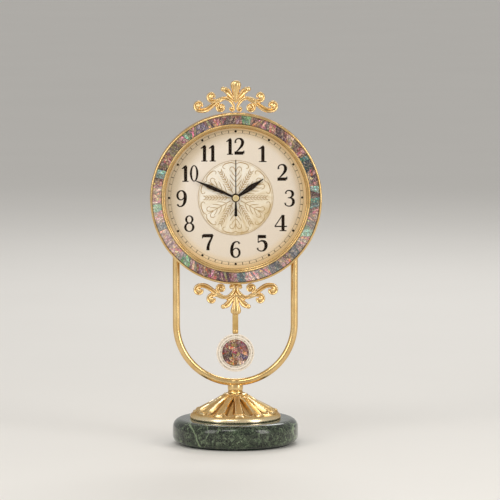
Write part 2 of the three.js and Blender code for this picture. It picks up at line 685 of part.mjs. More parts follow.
// A hand's outline along +Y: a round boss, a neck and a leaf. Rows are [distance, width].
function handShape(bossRadius, boreRadius, rows) {
  const tip = rows[rows.length - 1];
  const neckAngle = Math.asin(rows[0][1] / 2 / bossRadius);
  const shape = new THREE.Shape();
  shape.moveTo(rows[0][1] / 2, bossRadius * Math.cos(neckAngle));
  rows.forEach(([distance, width]) => shape.lineTo(width / 2, distance));
  [...rows].reverse().forEach(([distance, width]) => shape.lineTo(-width / 2, distance));
  shape.lineTo(-rows[0][1] / 2, bossRadius * Math.cos(neckAngle));
  shape.absarc(0, 0, bossRadius, Math.PI / 2 + neckAngle, Math.PI * 2.5 - neckAngle);
  if (boreRadius > 0) {
    const bore = new THREE.Path();
    bore.absarc(0, 0, boreRadius, 0, 2 * Math.PI, true);
    shape.holes.push(bore);
  }
  return shape;
}

// Widths of a leaf hand at shares of its length
function leafRows(length, width, neckWidth, tipWidth, widestShare) {
  return [
    [length * 0.16, neckWidth],
    [length * (widestShare - 0.16), width * 0.8],
    [length * widestShare, width],
    [length * (widestShare + 0.13), width * 0.8],
    [length * (widestShare + 0.3), (width + 2 * tipWidth) / 4],
    [length - 0.4, tipWidth],
    [length, tipWidth * 0.5],
  ];
}

function addHands() {
  const hour = handShape(HUB_BOSS_RADIUS, hourRadius + GAP,
    leafRows(HOUR_HAND_LENGTH, HOUR_HAND_WIDTH, 3.6, 1.5, 0.57));
  const hourHand = add('hour_hand', plate(hour, hourHandBack, hourHandBack + HAND_THICKNESS), blackEnamel);
  hourHand.rotation.z = -HOUR_HAND_ANGLE * DEGREE;

  const minute = handShape(HUB_BOSS_RADIUS, cannonRadius + GAP,
    leafRows(MINUTE_HAND_LENGTH, MINUTE_HAND_WIDTH, 2.6, 1.1, 0.56));
  const minuteHand = add('minute_hand', plate(minute, minuteHandBack, minuteHandBack + HAND_THICKNESS),
    blackEnamel);
  minuteHand.rotation.z = -MINUTE_HAND_ANGLE * DEGREE;

  const front = handShape(HUB_CAP_RADIUS * 0.8, ARBOR_RADIUS + GAP,
    [[6, SECOND_HAND_WIDTH], [SECOND_HAND_LENGTH, SECOND_HAND_WIDTH * 0.8]]);
  const tail = outline([[-SECOND_HAND_WIDTH / 2, -1.4], [-SECOND_HAND_WIDTH / 2, -4],
    [-SECOND_TAIL_WIDTH * 0.4, -SECOND_TAIL_LENGTH * 0.6], [-SECOND_TAIL_WIDTH / 2, 1.5 - SECOND_TAIL_LENGTH],
    [-SECOND_TAIL_WIDTH * 0.3, 0.4 - SECOND_TAIL_LENGTH], [SECOND_TAIL_WIDTH * 0.3, 0.4 - SECOND_TAIL_LENGTH],
    [SECOND_TAIL_WIDTH / 2, 1.5 - SECOND_TAIL_LENGTH], [SECOND_TAIL_WIDTH * 0.4, -SECOND_TAIL_LENGTH * 0.6],
    [SECOND_HAND_WIDTH / 2, -4], [SECOND_HAND_WIDTH / 2, -1.4]]);
  add('second_hand', join(plate(front, secondHandBack, secondHandBack + HAND_THICKNESS, 4),
    plate(tail, secondHandBack, secondHandBack + HAND_THICKNESS)), blackEnamel);

  add('hub_cap', turned([
    [0, hubCapBack],
    [HUB_CAP_RADIUS, hubCapBack],
    [HUB_CAP_RADIUS, hubCapBack + HUB_CAP_HEIGHT * 0.5],
    [HUB_CAP_RADIUS * 0.8, hubCapBack + HUB_CAP_HEIGHT * 0.85],
    [0, hubCapBack + HUB_CAP_HEIGHT],
  ], SMALL_SIDES), satinGold);
}

// Scroll casting. A stroke is a rounded rib that follows points in the X-Y plane, each with its
// own thickness.
function stroke(points, sides = 5) {
  const positions = [];
  const index = [];
  const count = points.length;
  points.forEach(([x, y, radius], i) => {
    const [x0, y0] = points[Math.max(0, i - 1)];
    const [x1, y1] = points[Math.min(count - 1, i + 1)];
    const length = Math.hypot(x1 - x0, y1 - y0);
    const [across, along] = [(y0 - y1) / length, (x1 - x0) / length];
    for (let side = 0; side < sides; side += 1) {
      const angle = side * 2 * Math.PI / sides;
      const offset = radius * Math.cos(angle);
      positions.push(x + across * offset, y + along * offset, radius * Math.sin(angle));
    }
  });
  for (let i = 0; i + 1 < count; i += 1) {
    for (let side = 0; side < sides; side += 1) {
      const after = (side + 1) % sides;
      const [a, b] = [i * sides + side, i * sides + after];
      index.push(a, b, b + sides, a, b + sides, a + sides);
    }
  }
  for (let side = 1; side + 1 < sides; side += 1) {
    const last = (count - 1) * sides;
    index.push(0, side + 1, side, last, last + side, last + side + 1);
  }
  const geometry = new THREE.BufferGeometry();
  geometry.setAttribute('position', new THREE.Float32BufferAttribute(positions, 3));
  geometry.setIndex(index);
  return geometry;
}

// Points of a curl that winds in towards its centre.
function curl(centre, from, to, startRadius, endRadius, startThickness, endThickness, steps) {
  return Array.from({ length: steps + 1 }, (_, i) => {
    const t = i / steps;
    const angle = (from + (to - from) * t) * DEGREE;
    const radius = startRadius + (endRadius - startRadius) * t;
    const thickness = startThickness + (endThickness - startThickness) * t;
    return [centre[0] + radius * Math.cos(angle), centre[1] + radius * Math.sin(angle), thickness];
  });
}

// The right half's strokes, in the pattern's own units, with heights above the rim.
function scrollStrokes() {
  const arch = [
    [25, 12.4, 1.3], [19.5, 15, 1.7], [14.5, 16.4, 1.7], [9.5, 15.8, 1.6],
    [5.4, 12.4, 1.5], [2.7, 8.2, 1.3],
    ...curl([4.7, 4.4], 165, 440, 2.7, 1.1, 1.2, 1.2, 5),
  ];
  const upperScroll = [
    [14.5, 16.2, 1.5], [20.5, 13.4, 1.9],
    ...curl([28.1, 18.4], 252, 560, 4.9, 2, 1.9, 1.9, 7),
  ];
  const outerScroll = [
    [20, 14.4, 1.7], [25.5, 9.9, 2.1], [31, 5.6, 2.3], [36, 2.9, 2.3],
    ...curl([42.7, 7.9], 262, 560, 5.3, 2.1, 2.2, 1.9, 7),
  ];
  const snail = [
    [23, 12.4, 1.6],
    ...curl([PATTERN_SNAIL, 6], 50, -430, 4.9, 0.7, 1.6, 1.3, 10),
  ];
  const petal = [[3, 17.6, 1.2], [6, 21, 1.7], [9.4, 24.8, 2.3],
    [12.6, 26.6, 2.7], [14.6, 27.2, 2.1], [15.6, 27.4, 0.9]];
  const leaf = [[1.6, 13.4, 1.2], [6.5, 16.6, 1.6], [9, 18.6, 1.7], [10.6, 20, 0.7]];
  return [arch, upperScroll, outerScroll, snail, petal, leaf];
}

function scrollCasting() {
  const unit = patternUnit;
  const place = ([x, y, radius]) => [x * unit, BEZEL_RADIUS + y * unit, radius * unit];
  const strokes = scrollStrokes().flatMap((points) => {
    const placed = points.map(place);
    const mirrored = [...placed].reverse().map(([x, y, radius]) => [-x, y, radius]);
    return [stroke(placed), stroke(mirrored)];
  });
  const budProfile = [[0, 10], [2.4, 14], [3, 19], [4.4, 27], [5.75, 33], [5, 36], [2.6, 37.1],
    [0, PATTERN_HEIGHT]].map(([x, y]) => new THREE.Vector2(x * unit, BEZEL_RADIUS + y * unit));
  const bud = new THREE.LatheGeometry(budProfile, TINY_SIDES).scale(1, 1, BUD_FLATNESS);
  const rimBesidePin = Math.sqrt(BEZEL_RADIUS ** 2 - scrollPinAt ** 2);
  const pins = [-1, 1].map((side) => uprightPin(SCROLL_PIN_RADIUS, side * scrollPinAt, 0,
    rimBesidePin - SCROLL_PIN_DEPTH, BEZEL_RADIUS + 2 * SCROLL_PIN_RADIUS, TINY_SIDES));
  const bezelSpace = ring(caseInner, BEZEL_RADIUS + GAP, -BEZEL_DEPTH, BEZEL_DEPTH);
  const body = cut(join(...strokes, bud), bezelSpace);
  return join(body, ...pins);
}

function addOrnaments() {
  const casting = scrollCasting().translate(0, 0, SCROLL_PLANE);
  add('crown_ornament', casting, satinGold);
  add('lower_ornament', casting.clone().rotateZ(Math.PI), satinGold);
}

// Movement: the two halves of its box, the plate between them and the battery
const batteryCentre = -MOVEMENT_SIZE / 2 + MOVEMENT_WALL + GAP + BATTERY_RADIUS;
const bayTop = -MOVEMENT_SIZE / 2 + MOVEMENT_WALL + BAY_HEIGHT;
const motionModule = 2 * MOTION_SHAFT_DISTANCE / (CANNON_TEETH + MINUTE_WHEEL_TEETH);
const hourModule = 2 * MOTION_SHAFT_DISTANCE / (MINUTE_PINION_TEETH + HOUR_WHEEL_TEETH);
const secondsModule = 2 * SECONDS_SHAFT_DISTANCE / (REDUCTION_PINION_TEETH + SECONDS_WHEEL_TEETH);
const rotorModule = 2 * ROTOR_SHAFT_DISTANCE / (ROTOR_TEETH + REDUCTION_WHEEL_TEETH);
const minuteWheelAt = [0, MOTION_SHAFT_DISTANCE];
const settingStep = polar(motionModule * (MINUTE_WHEEL_TEETH + CANNON_TEETH) / 2, SETTING_ANGLE);
const settingAt = [settingStep[0], minuteWheelAt[1] + settingStep[1]];
const reductionAt = polar(SECONDS_SHAFT_DISTANCE, REDUCTION_ANGLE);
const rotorStep = polar(ROTOR_SHAFT_DISTANCE, ROTOR_ANGLE);
const rotorAt = [reductionAt[0] + rotorStep[0], reductionAt[1] + rotorStep[1]];

// Levels of the wheels, each the front of its wheel
const hourWheelFront = roomFront - GAP;
const hourWheelBack = hourWheelFront - GEAR_THICKNESS;
const motionFront = hourWheelBack - GAP;
const motionBack = motionFront - PINION_LENGTH;
const trainPlateFront = motionBack - GAP;
const trainPlateBack = trainPlateFront - PLATE_THICKNESS;
const secondsFront = trainPlateBack - GAP;
const secondsBack = secondsFront - GEAR_THICKNESS;
const rotorGearFront = secondsBack - 2 * GAP;
const rotorGearBack = rotorGearFront - PINION_LENGTH;

function addMovementBox() {
  const half = MOVEMENT_SIZE / 2;
  const inner = half - MOVEMENT_WALL;
  const seam = movementFront - FRONT_HALF_DEPTH;
  const shell = box(-half, half, -half, half, seam, movementFront);
  const hollow = box(-inner, inner, -inner, inner, seam - 1, roomFront);
  const bushingTop = nutFront + 0.1;
  const bushing = pin(bushingRadius, 0, 0, roomFront + 0.1, bushingTop);
  const bore = pin(bushingBore, 0, 0, roomFront - 1, bushingTop + 1);
  const wheelPost = pin(ARBOR_RADIUS + TUBE_WALL / 2, ...minuteWheelAt, motionBack, roomFront + 0.5,
    TINY_SIDES);
  const front = cut(join(cut(shell, hollow), bushing), bore);
  add('movement_front', join(front, wheelPost), blackPlastic);

  const backShell = box(-half, half, -half, half, movementBack, seam - GAP);
  const backHollow = box(-inner, inner, -inner, inner, roomBack, seam + 1);
  const bayWall = box(-inner - 0.1, inner + 0.1, bayTop, bayTop + MOVEMENT_WALL, roomBack - 0.1,
    seam - GAP);
  const bayMouth = box(-BATTERY_LENGTH / 2 - 1, BATTERY_LENGTH / 2 + 1, -inner + 0.2, bayTop - 0.2,
    movementBack - 1, roomBack + 1);
  const shaftHole = pin(SETTING_SHAFT_RADIUS + RUNNING_GAP, ...settingAt, movementBack - 1, roomBack + 1,
    TINY_SIDES);
  add('movement_back', cut(join(cut(backShell, backHollow), bayWall), bayMouth, shaftHole), blackPlastic);

  const plateEdge = inner - GAP;
  const train = box(-plateEdge, plateEdge, bayTop + MOVEMENT_WALL + GAP, plateEdge,
    trainPlateBack, trainPlateFront);
  add('train_plate', cut(train,
    pin(ARBOR_RADIUS + RUNNING_GAP, 0, 0, trainPlateBack - 1, trainPlateFront + 1, TINY_SIDES),
    pin(SETTING_SHAFT_RADIUS + RUNNING_GAP, ...settingAt, trainPlateBack - 1, trainPlateFront + 1,
      TINY_SIDES)), whitePlastic);

  add('bushing_nut', ring(bushingRadius + GAP, nutRadius, nutBack, nutFront, SMALL_SIDES), brass);
}

function addMotionWorks() {
  const gearBack = motionBack + GAP;
  const gearFront = gearBack + GEAR_THICKNESS;

  const cannon = join(gear(CANNON_TEETH, motionModule, motionBack, motionFront, { flankSteps: 2 }),
    pin(cannonRadius, 0, 0, motionFront - 0.5, minuteHandBack + HAND_THICKNESS, TINY_SIDES));
  const cannonTeeth = cut(cannon, pin(cannonBore, 0, 0, motionBack - 1, minuteHandBack + 2, TINY_SIDES));
  add('cannon_pinion', cannonTeeth.rotateZ(Math.PI / 2), brass);

  // The minute wheel has a space towards the centre, where the pinion has a tooth, and its own
  // pinion has a tooth there for a space of the hour wheel.
  const wheel = gear(MINUTE_WHEEL_TEETH, motionModule, gearBack, gearFront, { toothAtStart: false });
  const smallPinion = gear(MINUTE_PINION_TEETH, hourModule, gearFront - 0.2, hourWheelFront,
    { flankSteps: 2 });
  const postHole = pin(ARBOR_RADIUS + TUBE_WALL / 2 + RUNNING_GAP, 0, 0, gearBack - 1,
    hourWheelFront + 1, TINY_SIDES);
  const minuteWheel = cut(join(wheel, smallPinion), postHole).rotateZ(-Math.PI / 2);
  add('minute_wheel', minuteWheel.translate(...minuteWheelAt, 0), brass);

  const hourWheel = join(
    gear(HOUR_WHEEL_TEETH, hourModule, hourWheelBack, hourWheelFront, { toothAtStart: false }),
    pin(hourRadius, 0, 0, hourWheelFront - 0.5, hourHandBack + HAND_THICKNESS, 12));
  const hourCut = cut(hourWheel, pin(hourBore, 0, 0, hourWheelBack - 1, hourHandBack + 2, 12));
  add('hour_wheel', hourCut.rotateZ(Math.PI / 2), whitePlastic);

  // The setting pinion meshes with the minute wheel at the setting angle.
  const wheelTurn = -90 + 180 / MINUTE_WHEEL_TEETH;
  const pitchAngle = 360 / MINUTE_WHEEL_TEETH;
  const phase = ((SETTING_ANGLE - wheelTurn) / pitchAngle) % 1;
  const pinionTurn = SETTING_ANGLE + 180 + phase * 360 / CANNON_TEETH + 180 / CANNON_TEETH;
  const shaft = join(
    gear(CANNON_TEETH, motionModule, gearBack, gearFront, { flankSteps: 2 }),
    pin(SETTING_SHAFT_RADIUS, 0, 0, movementBack - GAP - KNOB_HEIGHT * 0.6, roomFront - GAP, TINY_SIDES));
  add('setting_shaft', shaft.rotateZ(pinionTurn * DEGREE).translate(...settingAt, 0), brass);
  const knobTop = movementBack - GAP;
  const knob = gear(12, KNOB_RADIUS / 7, knobTop - KNOB_HEIGHT, knobTop);
  const knobBore = pin(SETTING_SHAFT_RADIUS + GAP, 0, 0, knobTop - KNOB_HEIGHT * 0.6 - GAP, knobTop + 1,
    TINY_SIDES);
  add('setting_knob', cut(knob, knobBore).translate(...settingAt, 0), whitePlastic);
}

function addSecondsTrain() {
  const arborEnd = roomBack + GAP;
  const seconds = join(
    gear(SECONDS_WHEEL_TEETH, secondsModule, secondsBack, secondsFront, { toothAtStart: false }),
    pin(ARBOR_RADIUS, 0, 0, arborEnd, secondHandBack + HAND_THICKNESS, TINY_SIDES));
  add('seconds_wheel', seconds.rotateZ(REDUCTION_ANGLE * DEGREE), brass);

  const reduction = join(
    gear(REDUCTION_PINION_TEETH, secondsModule, rotorGearFront - 0.2, secondsFront, { flankSteps: 2 }),
    pin(ARBOR_RADIUS, 0, 0, arborEnd, trainPlateBack - GAP, TINY_SIDES));
  reduction.rotateZ((REDUCTION_ANGLE + 180) * DEGREE);
  const reductionWheel = gear(REDUCTION_WHEEL_TEETH, rotorModule, rotorGearFront - GEAR_THICKNESS,
    rotorGearFront, { toothAtStart: false }).rotateZ(ROTOR_ANGLE * DEGREE);
  add('reduction_wheel', join(reduction, reductionWheel).translate(...reductionAt, 0), whitePlastic);

  const magnetFront = rotorGearBack - GAP;
  const rotor = join(
    gear(ROTOR_TEETH, rotorModule, rotorGearBack, rotorGearFront + 0.3, { flankSteps: 2 })
      .rotateZ((ROTOR_ANGLE + 180) * DEGREE),
    pin(ARBOR_RADIUS, 0, 0, arborEnd, trainPlateBack - GAP, TINY_SIDES),
    pin(MAGNET_RADIUS, 0, 0, magnetFront - MAGNET_LENGTH, magnetFront, 12));
  add('rotor', rotor.translate(...rotorAt, 0), steel);

  // The stator's plate goes round the rotor's magnet and reaches up behind the coil.
  const stator = magnetFront - MAGNET_LENGTH / 2;
  const coilBottom = rotorAt[1] + COIL_ABOVE_ROTOR;
  const coilCentre = rotorAt[0] + COIL_SHIFT;
  const plateShape = box(coilCentre - COIL_LENGTH / 2, coilCentre + COIL_LENGTH / 2,
    rotorAt[1] - STATOR_BELOW_ROTOR, coilBottom - GAP,
    stator - STATOR_THICKNESS / 2, stator + STATOR_THICKNESS / 2);
  const rotorHole = pin(MAGNET_RADIUS + SWING_GAP, ...rotorAt, stator - 2, stator + 2);
  const wheelHole = pin(ARBOR_RADIUS + RUNNING_GAP + 0.3, ...reductionAt, stator - 2, stator + 2,
    TINY_SIDES);
  add('stator', cut(plateShape, rotorHole, wheelHole), steel);
  add('motor_coil', box(coilCentre - COIL_LENGTH / 2, coilCentre + COIL_LENGTH / 2, coilBottom,
    coilBottom + COIL_HEIGHT, roomBack + GAP, roomBack + GAP + COIL_DEPTH), copperWire);
  add('circuit_board', box(BOARD_LEFT, BOARD_RIGHT, bayTop + MOVEMENT_WALL + GAP, BOARD_TOP,
    roomBack + GAP, roomBack + GAP + BOARD_THICKNESS), boardGreen);
}

function addBattery() {
  const bodyEnd = BATTERY_LENGTH / 2 - BATTERY_NUB;
  const inner = MOVEMENT_SIZE / 2 - MOVEMENT_WALL;
  const level = roomFront - GAP - BATTERY_RADIUS;
  const cell = turned([[0, -BATTERY_LENGTH / 2], [BATTERY_RADIUS, -BATTERY_LENGTH / 2],
    [BATTERY_RADIUS, bodyEnd], [2.6, bodyEnd], [2.6, BATTERY_LENGTH / 2], [0, BATTERY_LENGTH / 2]], 16)
    .rotateY(Math.PI / 2).translate(0, batteryCentre, level);
  add('battery', cell, batteryGrey);
  const reach = BATTERY_LENGTH / 2 + GAP;
  const contactSpan = BATTERY_RADIUS * 0.8;
  const contactPlate = (side) => {
    const [near, far] = [inner - GAP - CONTACT_THICKNESS, inner - GAP].map((x) => side * x);
    return box(Math.min(near, far), Math.max(near, far), batteryCentre - contactSpan,
      batteryCentre + contactSpan, level - contactSpan, level + contactSpan);
  };
  const plateFace = inner - GAP - CONTACT_THICKNESS;
  const cone = (side, base, tip) => turned([[0, reach], [tip, reach], [base, plateFace + 0.1],
    [0, plateFace + 0.1]], TINY_SIDES).rotateY(side * Math.PI / 2).translate(0, batteryCentre, level);
  add('battery_spring', join(contactPlate(-1), cone(-1, 4, 2)), steel);
  add('battery_contact', join(contactPlate(1), cone(1, 3, 3)), steel);
}

// Pendulum: housing and coil on the movement, then everything that swings
function addPendulum() {
  const half = HOUSING_WIDTH / 2;
  const top = -MOVEMENT_SIZE / 2 - GAP;
  const bottom = top - HOUSING_HEIGHT;
  const housing = cut(box(-half, half, bottom, top, movementBack, movementFront),
    box(-half + MOVEMENT_WALL, half - MOVEMENT_WALL, bottom - 1, top - MOVEMENT_WALL, roomBack, roomFront));
  add('pendulum_housing', housing, blackPlastic);
  const pivot = -PIVOT_DROP;
  add('pivot_pin', pin(PIVOT_RADIUS, 0, pivot, roomBack + GAP, roomFront - GAP, TINY_SIDES), steel);

  const coilFront = roomFront - GAP;
  const coilBack = coilFront - DRIVE_COIL_LENGTH;
  const magnetY = pivot - PENDULUM_MAGNET_DROP;
  add('drive_coil', ring(1.5, DRIVE_COIL_RADIUS, coilBack, coilFront, SMALL_SIDES)
    .translate(0, magnetY, 0), copperWire);

  // The hanger lies behind the tube's plane and the rod hangs on its hook, in the plane.
  const rodBack = -ROD_THICKNESS / 2;
  const rodFront = ROD_THICKNESS / 2;
  const hangerFront = rodBack - GAP;
  const hangerBack = hangerFront - HANGER_THICKNESS;
  const hangerEnd = pivot - HANGER_LENGTH - HANGER_WIDTH / 2;
  const hookY = pivot - HANGER_LENGTH;
  const eye = pin(HANGER_EYE_RADIUS, 0, pivot, hangerBack, hangerFront + HANGER_BOSS_HEIGHT);
  const arm = box(-HANGER_WIDTH / 2, HANGER_WIDTH / 2, hangerEnd, pivot, hangerBack, hangerFront);
  const magnetHolder = pin(PENDULUM_MAGNET_RADIUS + 0.5, 0, magnetY, hangerBack,
    hangerFront + HANGER_BOSS_HEIGHT);
  const hook = pin(HOOK_RADIUS, 0, hookY, hangerFront - 0.5, rodFront + 0.8, TINY_SIDES);
  const eyeHole = pin(PIVOT_RADIUS + RUNNING_GAP, 0, pivot, hangerBack - 1, hangerFront + 3, TINY_SIDES);
  add('pendulum_hanger', cut(join(eye, arm, magnetHolder, hook), eyeHole), whitePlastic);
  add('pendulum_magnet', pin(PENDULUM_MAGNET_RADIUS, 0, magnetY, hangerFront + HANGER_BOSS_HEIGHT + GAP,
    coilBack - SWING_GAP), steel);

  const bob = -bobDrop;
  const rivetY = -rodEnd + RIVET_RISE;
  const rodTop = hookY + HOOK_RADIUS + GAP + ROD_TOP_MARGIN;
  const rivetHole = pin(RIVET_RADIUS + GAP, 0, rivetY, -10, 10, TINY_SIDES);
  const rod = box(-ROD_WIDTH / 2, ROD_WIDTH / 2, -rodEnd, rodTop, rodBack, rodFront);
  add('pendulum_rod', cut(rod, rivetHole, pin(HOOK_RADIUS + GAP, 0, hookY, -10, 10, TINY_SIDES)), brass);

  const backFront = rodBack - GAP;
  const backBack = backFront - BOB_BACK_THICKNESS;
  const disc = pin(BOB_RADIUS - 1, 0, bob, backBack, backFront, BOB_SIDES);
  const tongue = box(-ROD_WIDTH * 0.4, ROD_WIDTH * 0.4, bob, rivetY + RIVET_HEAD_RADIUS, backBack, backFront);
  add('bob_back', cut(join(disc, tongue), rivetHole), brass);
  const ringBack = backFront + GAP;
  const ringFront = ringBack + BOB_RING_THICKNESS;
  add('bob_ring', turned([
    [BOB_INLAY_RADIUS + GAP, ringBack],
    [BOB_RADIUS - 0.5, ringBack],
    [BOB_RADIUS, ringBack + 0.8],
    [BOB_RADIUS, ringFront - 0.8],
    [BOB_RADIUS - 1, ringFront],
    [BOB_INLAY_RADIUS + GAP, ringFront],
  ], BOB_SIDES).translate(0, bob, 0), steel);
  add('bob_inlay', pin(BOB_INLAY_RADIUS, 0, bob, ringBack, ringFront - 1, BOB_SIDES), abalone);
  add('bob_rivet', join(
    pin(RIVET_RADIUS, 0, rivetY, backBack - GAP - 0.1, rodFront + GAP + 0.1, TINY_SIDES),
    pin(RIVET_HEAD_RADIUS, 0, rivetY, rodFront + GAP, rodFront + GAP + RIVET_HEAD_HEIGHT, TINY_SIDES),
    pin(RIVET_HEAD_RADIUS, 0, rivetY, backBack - GAP - RIVET_HEAD_HEIGHT, backBack - GAP, TINY_SIDES)),
    steel);
}

addBase();
addFoot();
addTubeAndCollar();
addCase();
addBackCover();
addBezelAndDial();
addOrnaments();
addHands();
addMovementBox();
addMotionWorks();
addSecondsTrain();
addBattery();
addPendulum();

export default clock;
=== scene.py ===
# %% [markdown]
# # A table clock on a bent tube
# This clock has a round head with a shell inlay, two scroll castings, a pendulum and a marble base.
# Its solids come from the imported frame, which already has the real sizes and the joints.
# The lesson dresses that frame: finer shapes where the solids are plain, and a real finish everywhere.
# Every piece is put where the frame says, so nothing has to be fitted by eye.

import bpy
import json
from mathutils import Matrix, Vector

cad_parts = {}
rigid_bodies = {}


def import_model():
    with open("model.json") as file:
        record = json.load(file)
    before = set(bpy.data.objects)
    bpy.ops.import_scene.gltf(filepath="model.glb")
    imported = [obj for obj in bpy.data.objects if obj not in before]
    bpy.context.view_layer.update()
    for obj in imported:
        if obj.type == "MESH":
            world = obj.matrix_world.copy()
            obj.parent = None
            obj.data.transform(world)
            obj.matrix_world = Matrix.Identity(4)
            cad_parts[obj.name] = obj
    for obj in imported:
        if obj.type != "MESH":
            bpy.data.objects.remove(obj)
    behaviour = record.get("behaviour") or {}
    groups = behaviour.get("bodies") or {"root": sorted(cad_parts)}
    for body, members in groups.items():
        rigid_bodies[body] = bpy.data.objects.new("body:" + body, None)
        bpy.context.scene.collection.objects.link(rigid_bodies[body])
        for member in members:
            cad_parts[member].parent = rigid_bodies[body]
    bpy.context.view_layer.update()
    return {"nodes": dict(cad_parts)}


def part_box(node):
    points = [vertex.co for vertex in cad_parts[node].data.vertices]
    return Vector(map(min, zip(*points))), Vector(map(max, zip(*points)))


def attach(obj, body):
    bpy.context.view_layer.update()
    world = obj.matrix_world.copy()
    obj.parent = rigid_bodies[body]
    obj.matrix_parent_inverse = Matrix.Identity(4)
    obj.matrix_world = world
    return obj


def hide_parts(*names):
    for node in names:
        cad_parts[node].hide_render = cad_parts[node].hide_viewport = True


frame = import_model()

# %% Modules and units
import json
import math
import random

import bmesh
import bpy
from mathutils import Matrix, Vector

MM = 0.001
scene = bpy.context.scene
print("Blender", bpy.app.version_string, "works in metres: one millimetre is", MM)

# %% [markdown]
# ## Two places to work in
# The stand is upright, so its shapes are drawn in millimetres with Z up.
# The head faces forwards, so it is easier to draw it lying down: X to the right, Y up the dial and
# Z towards the viewer. One matrix then stands the head up at its own centre.
# The centre is the middle of the glass in the frame. Pieces could also be drawn upright and turned
# one by one, but then every outline would need its own sum.

# %% Read the sizes that the shapes share
def corners(node):
    """A solid's lowest and highest corners, in millimetres."""
    low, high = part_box(node)
    return low / MM, high / MM


glass_low, glass_high = corners("glass_lens")
head_height = (glass_low.z + glass_high.z) / 2
STAND = Matrix.Scale(MM, 4)


def facing(x, y, z):
    """Stands a drawing up to face the viewer, with its zero at a place in millimetres."""
    return STAND @ Matrix.Translation((x, y, z)) @ Matrix.Rotation(math.radians(90), 4, "X")


HEAD = facing(0, 0, head_height)
print("The head's centre is", round(head_height, 2), "mm up")


def centre(node):
    low, high = corners(node)
    return (low + high) / 2


def depths(node):
    """Back and front of a solid of the head, in millimetres in front of the tube."""
    low, high = corners(node)
    return -high.y, -low.y


def outer_radius(node):
    """Half the width of a round solid."""
    low, high = corners(node)
    return (high.x - low.x) / 2


# %% [markdown]
# ## Camera
# The photograph was taken from far away, a little above the clock and a little to its left.
# A long lens keeps the legs parallel, as they are there. The place of the camera was solved from
# the heights and widths of the head, the bob and the base.

# %% Camera
CAMERA_PLACE = Vector((-0.175, -5.0, 0.750))
CAMERA_AIM = Vector((0.017275, 0, 0.228979))
FOCAL_LENGTH = 307.76

lens = bpy.data.cameras.new("camera")
lens.lens = FOCAL_LENGTH
lens.sensor_width = 36
lens.clip_end = 100
camera = bpy.data.objects.new("camera", lens)
camera.location = CAMERA_PLACE
camera.rotation_euler = (CAMERA_AIM - CAMERA_PLACE).to_track_quat("-Z", "Y").to_euler()
scene.collection.objects.link(camera)
scene.camera = camera
scene.view_settings.view_transform = "Standard"
print("The camera is", round((CAMERA_AIM - CAMERA_PLACE).length, 2), "m away")

# %% [markdown]
# ## Light
# Gold shows what is around it, so the light is built as a photographer would build it, from soft
# boxes. Two tall ones, on the left and on the right, draw the long highlights down the legs. One
# from above lights the castings, and one behind parts the clock from the backdrop. A grey-white
# room gives the middle tone. Small hard lamps would give the pale dial hot spots; large boxes leave
# it its own colour.

# %% Lamps and room
def soft_lamp(name, place, aim, size, power, tint=(1, 1, 1)):
    """A rectangular lamp that points at a place. Its tint is red, green and blue."""
    light = bpy.data.lights.new(name, "AREA")
    light.shape = "RECTANGLE"
    light.size, light.size_y = size
    light.energy = power
    light.color = tint
    lamp = bpy.data.objects.new(name, light)
    lamp.location = place
    lamp.rotation_euler = (Vector(aim) - Vector(place)).to_track_quat("-Z", "Y").to_euler()
    scene.collection.objects.link(lamp)


WARM = (1, 0.97, 0.92)
ROOM_STRENGTH = 0.54

soft_lamp("left box", (-1.5, -1.25, 1.0), (0, 0, 0.22), (0.7, 1.5), 12, WARM)
soft_lamp("right box", (1.35, -1.05, 0.75), (0, 0, 0.22), (0.6, 1.4), 12, WARM)
soft_lamp("top box", (-0.5, -1.5, 2.1), (0, 0, 0.3), (0.9, 0.7), 9, (1, 0.98, 0.95))
soft_lamp("back box", (0.4, 2.0, 1.8), (0, 0, 0.2), (1.4, 0.6), 16)

room = bpy.data.worlds.new("room")
scene.world = room
room.use_nodes = True
backdrop = room.node_tree.nodes["Background"]
backdrop.inputs["Color"].default_value = (0.93, 0.92, 0.90, 1)
backdrop.inputs["Strength"].default_value = ROOM_STRENGTH
print("Lamps:", len(bpy.data.lights), "and a room of strength", ROOM_STRENGTH)

# %% [markdown]
# ## Finishes
# A finish is a small graph of nodes. It always starts with the object coordinates, which are
# metres here, and ends at one shader. The class below adds the nodes and joins them, so that each
# finish later reads as a short recipe. Colours are written as on screen, from 0 to 255, and turned
# into the linear values that the shader uses.

# %% A helper that writes finishes
def colour(red, green, blue):
    def linear(value):
        value /= 255
        return value / 12.92 if value <= 0.04045 else ((value + 0.055) / 1.055) ** 2.4

    return (linear(red), linear(green), linear(blue), 1)


